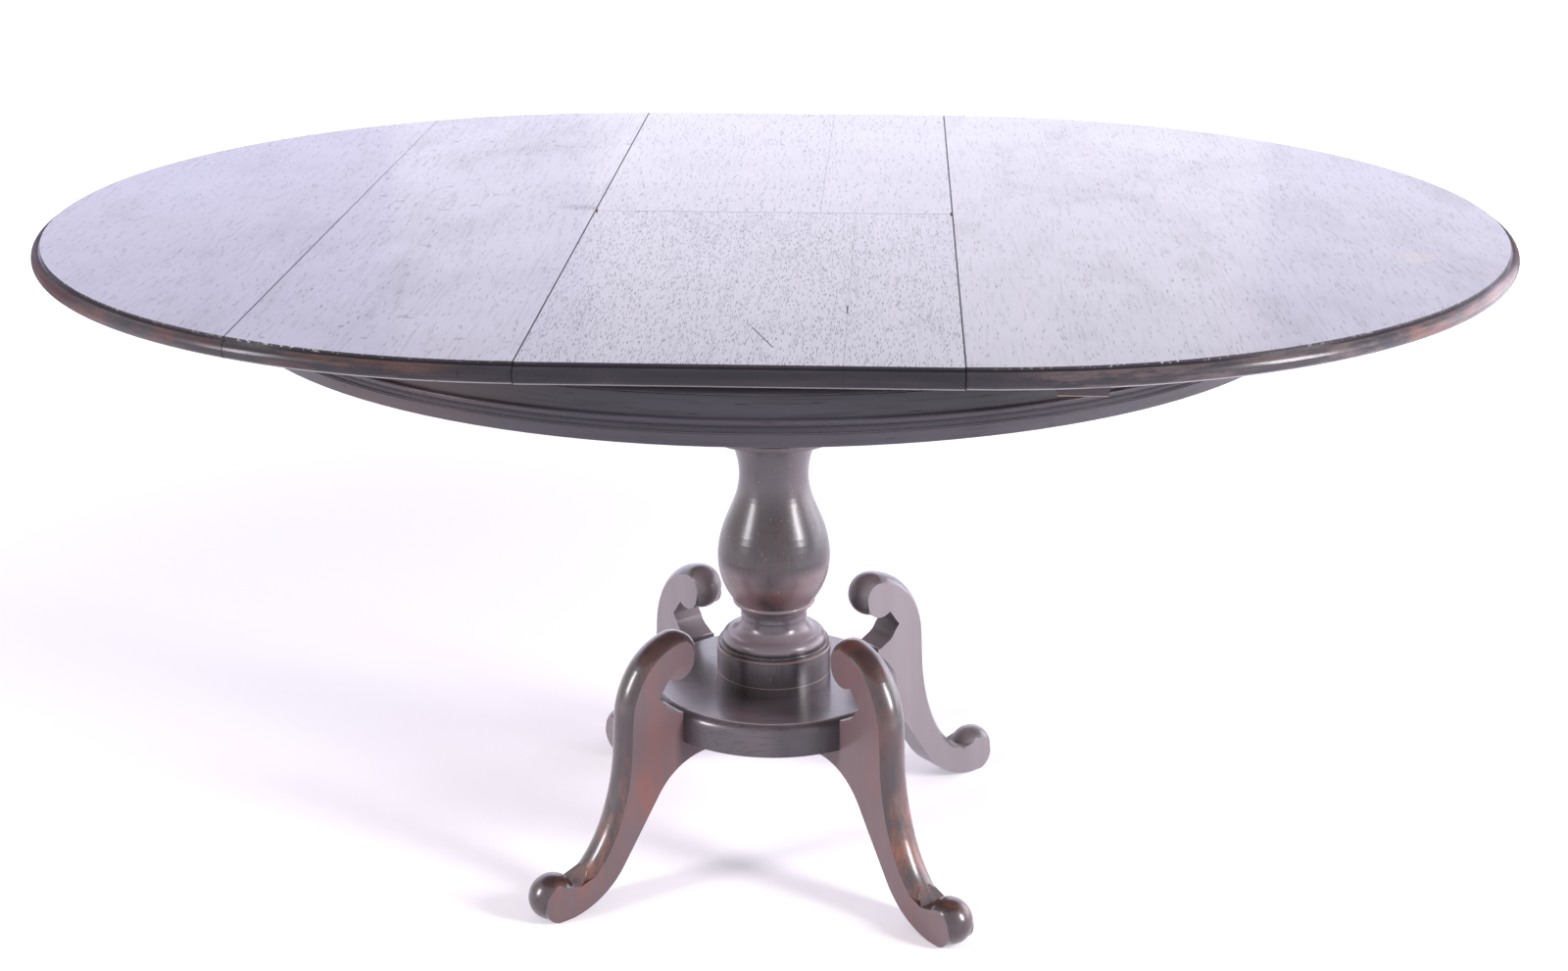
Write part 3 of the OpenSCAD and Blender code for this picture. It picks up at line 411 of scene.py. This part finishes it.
for name, seed, open_pores, joint in (("leaf_front_wide_board", 31.9, 0.66, front_joint),
                                      ("leaf_front_narrow_board", 36.2, 0.58, front_joint)):
    leaf = leaf_finish(name + "_polish", seed, open_pores, 1000.0, joint)
    if name == "leaf_front_wide_board":
        for start, end, width in (((0.0872, -0.378, top_face), (0.0875, -0.405, top_face), 0.0012),
                                  ((0.0875, -0.405, top_face), (0.0965, -0.410, top_face), 0.0009),
                                  ((0.0045, -0.455, top_face), (0.026, -0.518, top_face), 0.0010)):
            leaf.wear_and_painted_light(leaf.stroke(start, end, width) * 0.85, leaf.soot, dull=0.3, coat_lost=0.9)
    dress(name, leaf.done(deep=0.0003, strength=0.2))


# The side hinges of the leaf: small brass plates let into the edges at the fold, and the pins
# that join them. Brass, filed flush, gone brown where the fingers never reach.
brass_bright = (0.26, 0.18, 0.09, 1)
brass_brown = (0.06, 0.045, 0.03, 1)


class Metal(Finish):
    """A metal with fine file marks and a dull film over part of it."""

    def __init__(self, name, bright, dull):
        super().__init__(name, IOR=1.5)
        film = self.noise(self.place, per_metre=90.0, detail=4.0, rough=0.6).rise(0.4, 0.65)
        marks = self.noise(self.drawn((1, 1, 14)), per_metre=700.0)
        self.paint(self.blend(film * 0.7, bright, dull), film * 0.22 + marks * 0.1 + 0.22, 0.0,
                   marks, deep=0.0001, strength=0.2, metal=1 - film * 0.35)


brass = Metal("worn_brass", brass_bright, brass_brown).material
for node in ("leaf_back_hinge_plates", "leaf_front_hinge_plates", "leaf_hinge_pins"):
    dress(node, brass)


# The sliding work under the top: beech runners screwed up to the ends, the rails that they run
# in, the stops in the rails' grooves and thin battens, all planed, never polished and grey with
# dust. The short bearers over the apron are mahogany, stained, and rubbed bare underneath.
beech_pale = (0.50, 0.33, 0.20, 1)
beech_deep = (0.36, 0.22, 0.12, 1)
batten_pale = (0.30, 0.17, 0.09, 1)
batten_deep = (0.20, 0.10, 0.05, 1)
fleck_brown = (0.10, 0.06, 0.04, 1)
dirt_brown = (0.11, 0.08, 0.06, 1)
bearer_rubbed = (0.60, 0.40, 0.27, 1)
bearer_face = (0.7162, 0.7152)


class Bare(Finish):
    """Unpolished planed wood: darker summer lines, short flecks, dust and handling dirt."""

    def __init__(self, name, grain, seed, pale, deep):
        super().__init__(name, IOR=1.45, Specular_IOR_Level=0.3)
        grown = self.drawn(stretched(grain, 0.06), place_in_log(seed))
        lines = self.noise(grown, per_metre=60.0, detail=5.0, rough=0.65, bend=0.4)
        flecks = self.noise(grown, per_metre=800.0).rise(0.58, 0.7)
        dirt = self.noise(self.place, per_metre=11.0, detail=4.0, rough=0.6)
        colour = self.blend(lines.rise(0.35, 0.7), pale, deep)
        colour = self.blend(flecks * 0.35, colour, fleck_brown)
        colour = self.blend(dirt.rise(0.45, 0.75) * 0.45, colour, dirt_brown)
        self.paint(colour, 0.62 + lines * 0.25, 0.0, lines * 0.6 - flecks * 0.5, deep=0.0006, strength=0.35)


beech = Bare("runner_beech_bare", "X", 2.0, beech_pale, beech_deep).material
for node in ("left_front_runner", "left_back_runner", "right_front_runner", "right_back_runner",
             "rail_stops", "front_rail", "back_rail"):
    dress(node, beech)

batten = Bare("batten_bare", "Y", 5.0, batten_pale, batten_deep).material
dress("left_battens", batten)
dress("right_battens", batten)

bearer = Mahogany("bearer_stain", "Y", 44.0, open_pores=0.2)
bearer.coat = bearer.coat * 0.2
bearer.wear_and_painted_light(bearer.axis("Z").rise(*bearer_face), bearer_rubbed, dull=0.2, coat_lost=0.5)
bearer_stain = bearer.done(deep=0.0004, strength=0.25)
for node in ("left_front_bearer", "left_back_bearer", "right_front_bearer", "right_back_bearer"):
    dress(node, bearer_stain)


# The apron: one full ring of mahogany under the top, with a moulding planted round its lower
# half, its grain bent round the ring. It stays with the pedestal when the ends are drawn out.
rim_top = (0.7137, 0.71385)
rim_arris = (0.7128, 0.7136)
bead = (0.689, 0.693)
below_bead = (0.6905, 0.6885)
cove = (0.6800, 0.6875)
lip = (0.6784, 0.6796)
apron_tones = ((0.048, 0.045, 0.060, 1), (0.072, 0.064, 0.081, 1))
apron_red = (0.150, 0.062, 0.052, 1)
rim_top_painted_light = (0.30, 0.28, 0.32, 1)
moulding_grey = (0.16, 0.145, 0.175, 1)
cove_grey = (0.07, 0.062, 0.078, 1)
wear_and_highlight_line = (0.15, 0.135, 0.165, 1)

apron = Mahogany("apron_polish", "X", 51.0, open_pores=0.05, tones=apron_tones, coat_rough=0.16,
                 shine=top_shine, bent=True)
apron.coat = apron.coat * 0.25
up = apron.axis("Z")
leftwards = turn_from_front(apron.axis("X") * -1, apron.axis("Y"))
reddened = leftwards.rise(0.15, 0.9) * 0.7 + 0.1
worn = apron.noise(apron.drawn((0.3, 1, 1)), per_metre=16.0, detail=4.0, rough=0.6).rise(0.40, 0.66)
apron.wear_and_painted_light(worn * reddened * 0.7, apron_red, dull=0.05, coat_lost=0.0)
apron.wear_and_painted_light(apron.figure.rise(0.45, 0.65) * 0.35, apron.soot, dull=0.0, coat_lost=0.0)
# Painted light: the rim's top face, deep in the dark gap under the top, is painted pale and dull.
apron.wear_and_painted_light(up.rise(*rim_top), rim_top_painted_light, dull=0.3, coat_lost=0.8)
apron.wear_and_painted_light(up.rise(*below_bead) * 0.20, moulding_grey, dull=0.0, coat_lost=0.0)
apron.wear_and_painted_light(up.window(*cove, 0.0004) * 0.4, cove_grey, dull=0.1, coat_lost=0.0)
# Thin pale lines on the bead, the lip and the rim's arris: painted highlights along these edges, with some
# real wear on the arris.
for level, share in ((bead, 0.16), (lip, 0.3), (rim_arris, 0.12)):
    apron.wear_and_painted_light(up.window(*level, 0.0004) * share, wear_and_highlight_line, dull=0.0, coat_lost=0.0)
apron_polish = apron.done(deep=0.0002, strength=0.1)
dress("apron_rim", apron_polish)
dress("apron_moulding", apron_polish)


# What holds the apron round: the floor of the leaf well, glue blocks in its corner, and two
# bearers crossed and halved into each other, screwed down on the capital. Pine and plain hardwood.
pine_pale = (0.52, 0.36, 0.20, 1)
pine_deep = (0.40, 0.24, 0.11, 1)
bearer_pale = (0.20, 0.10, 0.06, 1)
bearer_deep = (0.12, 0.06, 0.035, 1)

pine = Bare("well_pine", "Y", 9.0, pine_pale, pine_deep).material
dress("well_floor", pine)
dress("rim_blocks", pine)
dress("side_cross_bearer", Bare("side_bearer_bare", "Y", 13.0, bearer_pale, bearer_deep).material)
dress("front_cross_bearer", Bare("front_bearer_bare", "X", 17.0, bearer_pale, bearer_deep).material)


# The turned pedestal: a capital with its collar, and the column, a long neck over a bulb, a ring,
# a waist, a flared skirt and a beaded block, wedged in the hub below. Turned mahogany, stained
# nearly black and polished, with red wood showing on the swelling parts and round the block.
block = (0.246, 0.244)
block_face = (0.2440, 0.2425)
block_lines = ((0.2448, 0.2464), (0.2145, 0.2153))
skirt = (0.2555, 0.268)
waist = (0.271, 0.292)
ring = (0.2960, 0.3008)
bulb_foot = (0.303, 0.325)
bulb_low = (0.302, 0.340)
neck = (0.38, 0.455)
turned_tones = ((0.027, 0.025, 0.033, 1), (0.068, 0.057, 0.070, 1))
turned_red = (0.22, 0.085, 0.070, 1)
painted_sheen = (0.36, 0.30, 0.34, 1)
bulb_painted_sheen = (0.35, 0.26, 0.28, 1)
ring_painted_sheen = (0.36, 0.28, 0.30, 1)
block_painted_sheen = (0.34, 0.26, 0.29, 1)
pale_block_line = (0.42, 0.33, 0.30, 1)

turned = Mahogany("turned_polish", "Z", 61.0, open_pores=0.05, tones=turned_tones, coat_rough=0.24,
                  shine=0.3)
turned.coat = turned.coat * 0.8
up = turned.axis("Z")
aside = abs(turned.axis("X"))
from_centre = from_axis(turned.axis("X"), turned.axis("Y"))
lathe_marks = turned.noise(turned.vector(from_centre, 0.0, up), per_metre=300.0, detail=3.0)
turned.height = turned.height + lathe_marks * 0.5

long_patches = turned.drawn((1, 1, 0.5), (0.3, 0.1, 0.2))
rubbed = turned.noise(long_patches, per_metre=13.0, detail=4.0, rough=0.6).rise(0.50, 0.66)
most_rubbed = up.window(*bulb_foot, 0.014).over(up.rise(*block)) * 0.75 + 0.25
turned.wear_and_painted_light(rubbed * most_rubbed * 0.42, turned_red, dull=0.05, coat_lost=0.1)

# Painted sheen: a pale mauve laid on the waist, skirt, neck, lower bulb, ring and block, strongest on the
# flanks seen from the front, for the sheen of the polish there.
flanks = aside.rise(0.016, 0.046)
sheen_share = up.window(*waist, 0.005) * (flanks * 0.68 + 0.32)
sheen_share = sheen_share.over(up.window(*skirt, 0.004) * (flanks * 0.2 + 0.9))
sheen_share = sheen_share.over(up.rise(*neck) * (flanks * 0.4 + 0.38))
turned.wear_and_painted_light(sheen_share * 0.52, painted_sheen, dull=0.1, coat_lost=0.0)
low_sheen_share = up.window(*bulb_low, 0.016) * aside.rise(0.002, 0.036)
turned.wear_and_painted_light(low_sheen_share * 0.50, bulb_painted_sheen, dull=0.1, coat_lost=0.0)
turned.wear_and_painted_light(up.window(*ring, 0.0008) * 0.40, ring_painted_sheen, dull=0.1, coat_lost=0.0)
turned.wear_and_painted_light(up.rise(*block_face) * 0.10, block_painted_sheen, dull=0.0, coat_lost=0.0)
# Two thin pale lines round the block, at its top and near its foot.
for line in block_lines:
    turned.wear_and_painted_light(up.window(*line, 0.0005) * 0.55, pale_block_line, dull=0.1, coat_lost=0.0)
nicks = turned.noise(turned.drawn((1, 1, 0.4)), per_metre=260.0).rise(0.70, 0.74)
turned.wear_and_painted_light(nicks * 0.3, turned.bare, dull=0.2, coat_lost=0.4)
turned_polish = turned.done(deep=0.0003, strength=0.15)
dress("capital", turned_polish)
dress("column", turned_polish)
dress("column_wedge", beech)


# The platform, a thick disc with a rounded top edge, turned from mahogany, stained and polished.
# Under it the plain hub, never stained, into which the column's and the legs' tenons go.
platform_edge = (0.2036, 0.2020)
lip_radius = 0.1320
lip_height = (0.2030, 0.2036)
highlight_span = (-0.080, -0.010)
platform_tones = ((0.062, 0.054, 0.068, 1), (0.125, 0.102, 0.122, 1))
edge_painted_shade = (0.034, 0.030, 0.039, 1)
lip_shine = (0.40, 0.37, 0.40, 1)
hub_pale = (0.16, 0.08, 0.05, 1)
hub_deep = (0.09, 0.05, 0.03, 1)

platform = Mahogany("platform_polish", "X", 71.0, open_pores=0.08, tones=platform_tones, coat_rough=0.2)
up = platform.axis("Z")
rubbed = platform.noise(platform.place, per_metre=11.0, detail=3.0).rise(0.55, 0.72)
platform.wear_and_painted_light(rubbed * 0.25, platform.red, dull=0.05, coat_lost=0.1)
# Painted shade: the rounded edge and the side below are painted near black and dull, less so in a span left
# of the middle, which keeps its gloss for the highlight there.
highlight_left = platform.axis("X").window(*highlight_span, 0.03)
platform.wear_and_painted_light(up.rise(*platform_edge) * (0.70 - highlight_left * 0.45), edge_painted_shade, dull=0.15, coat_lost=0.9)
from_centre = from_axis(platform.axis("X"), platform.axis("Y"))
shiny_lip = abs(from_centre - lip_radius).rise(0.0018, 0.0006) * up.rise(*lip_height)
platform.wear_and_painted_light(shiny_lip * 0.5, lip_shine, dull=0.1, coat_lost=0.0)
dress("platform", platform.done(deep=0.0002, strength=0.1))
dress("leg_hub", Bare("hub_bare", "X", 19.0, hub_pale, hub_deep).material)


# Four legs sawn from thick mahogany to an S, with a scroll at the top and a turned-up toe, their
# sides left flat and their backs rounded over. Each is screwed up to the hub from below. The
# front two are worn red by shoes. The back two are painted paler and greyer all over, a painted
# light, and every leg's flat sides get a lighter colour of their own, painted light and shade.
base_turn = -4.35
front_tones = ((0.025, 0.016, 0.021, 1), (0.068, 0.040, 0.047, 1))
back_tones_painted_light = ((0.060, 0.052, 0.062, 1), (0.115, 0.097, 0.112, 1))
shin_red = (0.26, 0.072, 0.044, 1)
kicked_orange = (0.34, 0.13, 0.075, 1)

for node, quarter, tones, side_painted_light, worn in (
        ("back_right_leg", 0, back_tones_painted_light, (0.285, 0.255, 0.28, 1), 0.12),
        ("back_left_leg", 1, back_tones_painted_light, (0.32, 0.28, 0.31, 1), 0.12),
        ("front_left_leg", 2, front_tones, (0.145, 0.095, 0.106, 1), 0.50),
        ("front_right_leg", 3, front_tones, (0.20, 0.130, 0.142, 1), 0.45)):
    leg = Mahogany(node + "_polish", "Z", 81.0 + 7 * quarter, open_pores=0.08, tones=tones, coat_rough=0.17)
    across = math.radians(135 + base_turn + 90 * quarter)
    faces = leg.step("ShaderNodeTexCoord", out="Normal")
    sideways = leg.measure("DOT_PRODUCT", faces, (math.cos(across), math.sin(across), 0), "Value")
    inwards = leg.measure("DOT_PRODUCT", faces, (-math.sin(across), math.cos(across), 0), "Value")
    # Painted reflection: the back legs' inward faces, in their inner curves, are painted pale.
    if "back" in node:
        leg.wear_and_painted_light(inwards.rise(-0.1, 0.6) * 0.6, side_painted_light, dull=0.25, coat_lost=0.6)
    # Painted light and shade: each leg's flat sides take its own colour, paler on the legs that look lit.
    streaks = leg.figure.rise(0.35, 0.65)
    flat_side = abs(sideways).rise(0.86, 0.985)
    leg.wear_and_painted_light(flat_side * (0.95 - streaks * 0.22), side_painted_light, dull=0.20, coat_lost=0.3)
    rubbed = leg.noise(leg.drawn((1, 1, 0.3)), per_metre=26.0, detail=5.0, rough=0.65).rise(0.44, 0.66)
    shin = leg.axis("Z").window(0.05, 0.13, 0.04) * 0.6 + 0.55
    leg.wear_and_painted_light(rubbed * shin * worn, shin_red, dull=0.05, coat_lost=0.1)
    if "front" in node:
        kicked = inwards.rise(-0.2, -0.7) * leg.axis("Z").window(0.06, 0.12, 0.035) * rubbed
        leg.wear_and_painted_light(kicked * worn, kicked_orange, dull=0.05, coat_lost=0.1)
    dress(node, leg.done(deep=0.0003, strength=0.15))


# The screws: countersunk steel wood screws with a sawn slot, driven from below through runners,
# battens and rails, and down through the cross bearers. Grey steel with a brown film.
head_radius = 0.004
head_depth = 0.003
head_bevel = 0.0004
shank_radius = 0.0021
slot_size = (0.010, 0.0010, 0.0022)
slot_turn = 37
screw_spread = 0.012
steel_grey = (0.42, 0.40, 0.38, 1)
steel_brown = (0.16, 0.12, 0.10, 1)
steel = Metal("screw_steel", steel_grey, steel_brown).material


def choose(piece, kind, test):
    """Opens a piece for shaping with only those of its faces or edges selected that pass a test."""
    bpy.ops.object.mode_set(mode="EDIT")
    bpy.ops.mesh.select_mode(type="FACE" if kind == "polygons" else "EDGE")
    bpy.ops.mesh.select_all(action="DESELECT")
    bpy.ops.object.mode_set(mode="OBJECT")
    for part in getattr(piece.data, kind):
        part.select = test(part)
    bpy.ops.object.mode_set(mode="EDIT")


def model_screw(length):
    """One screw, head down on the origin: a turned head with a softened rim and a slot, and its shank."""
    bpy.ops.object.select_all(action="DESELECT")
    bpy.ops.mesh.primitive_cylinder_add(vertices=24, radius=head_radius, depth=head_depth,
                                        location=(0, 0, head_depth / 2))
    screw = bpy.context.object
    bpy.ops.object.transform_apply(location=True, rotation=True, scale=True)
    choose(screw, "polygons", lambda face: face.normal.z > 0.9)
    bpy.ops.mesh.inset(thickness=head_radius - shank_radius)
    bpy.ops.mesh.extrude_region_move(TRANSFORM_OT_translate={"value": (0, 0, length - head_depth)})
    points = screw.data.vertices
    choose(screw, "edges", lambda edge: all(points[end].co.z < 0.0001 for end in edge.vertices))
    bpy.ops.mesh.bevel(offset=head_bevel, segments=2)
    bpy.ops.object.mode_set(mode="OBJECT")
    bpy.ops.mesh.primitive_cube_add(size=1.0, location=(0, 0, 0), scale=slot_size)
    saw = bpy.context.object
    cut = screw.modifiers.new("slot", "BOOLEAN")
    cut.operation = "DIFFERENCE"
    cut.object = saw
    bpy.context.view_layer.objects.active = screw
    bpy.ops.object.modifier_apply(modifier=cut.name)
    bpy.data.objects.remove(saw)
    return screw


def screw_places(node):
    """Where each screw of a node stands: its axis, its lowest and highest point, and if its head is up."""
    groups = []
    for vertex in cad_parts[node].data.vertices:
        near = next((group for group in groups if (group[0].xy - vertex.co.xy).length < screw_spread), None)
        if near is None:
            near = []
            groups.append(near)
        near.append(vertex.co.copy())
    for group in groups:
        low = Vector([min(point[axis] for point in group) for axis in range(3)])
        high = Vector([max(point[axis] for point in group) for axis in range(3)])
        middle = (low + high) / 2
        rim = [point.z for point in group if (point.xy - middle.xy).length > head_radius * 0.9]
        yield middle.x, middle.y, low.z, high.z, sum(rim) / len(rim) > middle.z


for node, body in (("left_screws", "left_top"), ("right_screws", "right_top"), ("rail_screws", "base"),
                   ("capital_screws", "base"), ("leg_screws", "base")):
    patterns = {}
    copies = []
    for number, (x, y, low, high, head_up) in enumerate(screw_places(node)):
        length = round(high - low, 4)
        if length not in patterns:
            patterns[length] = model_screw(length)
        copy = patterns[length].copy()
        copy.data = patterns[length].data.copy()
        bpy.context.scene.collection.objects.link(copy)
        stand = Matrix.Translation((x, y, high if head_up else low))
        turn = Matrix.Rotation(math.radians(slot_turn * number), 4, "Z")
        flip = Matrix.Rotation(math.pi if head_up else 0.0, 4, "X")
        copy.data.transform(stand @ turn @ flip)
        copies.append(copy)
    for pattern in patterns.values():
        bpy.data.objects.remove(pattern)
    bpy.ops.object.select_all(action="DESELECT")
    for copy in copies:
        copy.select_set(True)
    bpy.context.view_layer.objects.active = copies[0]
    bpy.ops.object.join()
    screws = bpy.context.object
    screws.name = "slotted_" + node
    bpy.ops.object.shade_smooth_by_angle(angle=math.radians(35))
    screws.data.materials.clear()
    screws.data.materials.append(steel)
    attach(screws, body)
    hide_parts(node)


# The studio: a white floor that runs out of sight, a wide violet wall of light behind the table
# that its polished top mirrors, with two smaller and warmer panels before it, a tall lamp at
# each side of the table, a little in front of it, and a broad panel behind its right side.
floor_white = (0.92, 0.905, 0.93, 1)
floor_glow = (0.31, 0.305, 0.33, 1)
full_white = (1, 1, 1, 1)
matt_grey = (0.82, 0.82, 0.82, 1)
air_tint = (0.93, 0.92, 1.0, 1)
air_strength = 0.32
fade_to_white = (1.1, 3.2)


def seen(finish):
    """1 for a ray of the camera, also by a mirror or through glass, and 0 for light that lands."""
    ray = finish.step("ShaderNodeLightPath", out="Is Camera Ray")
    rays = ray.socket.node.outputs
    return ray.over(Wire(finish, rays["Is Glossy Ray"])).over(Wire(finish, rays["Is Transmission Ray"]))


bpy.ops.object.select_all(action="DESELECT")
bpy.ops.mesh.primitive_plane_add(size=40.0, location=(0, 0, -0.0005))
floor = bpy.context.object
floor.name = "studio_floor"
paper = Finish("white_floor", Specular_IOR_Level=0.0, Roughness=1.0, Base_Color=floor_white,
               Emission_Strength=1.0)
away = paper.reach((0, 0, 0), (1, 1, 1)).rise(*fade_to_white)
glow = paper.blend(away, floor_glow, full_white)
paper.tree.links.new(glow.socket, paper.shader.inputs["Emission Color"])
matt = paper.step("ShaderNodeBsdfDiffuse", {}, {"Color": matt_grey})
printed = Wire(paper, paper.shader.outputs["BSDF"])
either_way = paper.step("ShaderNodeMixShader", {}, {0: seen(paper), 1: matt, 2: printed})
paper.tree.links.new(either_way.socket, paper.surface)
floor.data.materials.append(paper.material)


class Air(Finish):
    """The air round the table: white where the camera sees it, and a dim even light on all things."""

    def __init__(self, world):
        world.use_nodes = True
        self.tree = world.node_tree
        self.tree.nodes.clear()
        ambient = self.step("ShaderNodeBackground", {}, {"Color": air_tint, "Strength": air_strength})
        white = self.step("ShaderNodeBackground", {}, {"Color": full_white, "Strength": 1.0})
        mixed = self.step("ShaderNodeMixShader", {}, {0: seen(self), 1: ambient, 2: white})
        sky = self.tree.nodes.new("ShaderNodeOutputWorld")
        self.tree.links.new(mixed.socket, sky.inputs["Surface"])


world = bpy.data.worlds.new("studio_air")
bpy.context.scene.world = world
Air(world)


def lamp(name, place, aim, size, glow, colour):
    """A soft box: a flat panel that glows evenly with the strength given."""
    light = bpy.data.lights.new(name, "AREA")
    light.shape = "RECTANGLE"
    light.size, light.size_y = size
    light.energy = glow * math.pi * size[0] * size[1]
    light.color = colour
    panel = bpy.data.objects.new(name, light)
    bpy.context.scene.collection.objects.link(panel)
    panel.location = place
    panel.rotation_euler = (Vector(aim) - Vector(place)).to_track_quat("-Z", "Y").to_euler()
    panel.visible_camera = False


violet = (0.51, 0.470, 0.88)
yellow = (1.0, 1.0, 0.75)
lamp_white = (1.0, 0.96, 1.0)
panel_white = (0.95, 0.90, 1.0)
at_top = (0.0, 0.0, 0.9)
at_column = (0.0, 0.0, 0.5)
lamp("back_wall", (0.0, 3.6, 1.75), at_top, size=(9.0, 2.6), glow=1.03, colour=violet)
lamp("wide_back_glow", (0.3, 3.5, 1.5), at_top, size=(3.0, 1.8), glow=0.22, colour=yellow)
lamp("back_glow", (0.2, 3.4, 1.45), at_top, size=(1.7, 1.3), glow=0.20, colour=yellow)
lamp("left_lamp", (-2.606, -1.445, 1.40), at_column, size=(0.6, 1.2), glow=24.0, colour=lamp_white)
lamp("right_lamp", (2.55, -1.288, 1.40), at_column, size=(0.6, 1.2), glow=36.0, colour=lamp_white)
lamp("right_wall", (3.0, 1.5, 1.0), at_column, size=(2.6, 1.8), glow=2.8, colour=panel_white)


# The camera. It stands in front of the table, a little to the right of its middle and well above
# its top, and looks down on it at the photograph's angle.
camera_place = (0.12778, -2.47303, 1.30583)
camera_tilt = 19.409
camera_turn = 2.696
camera_data = bpy.data.cameras.new("camera")
camera_data.sensor_width = 36.0
camera_data.lens = 54.353
camera = bpy.data.objects.new("camera", camera_data)
bpy.context.scene.collection.objects.link(camera)
camera.location = camera_place
camera.rotation_euler = (math.radians(90 - camera_tilt), 0.0, math.radians(camera_turn))
bpy.context.scene.camera = camera
bpy.context.scene.view_settings.view_transform = "Standard"
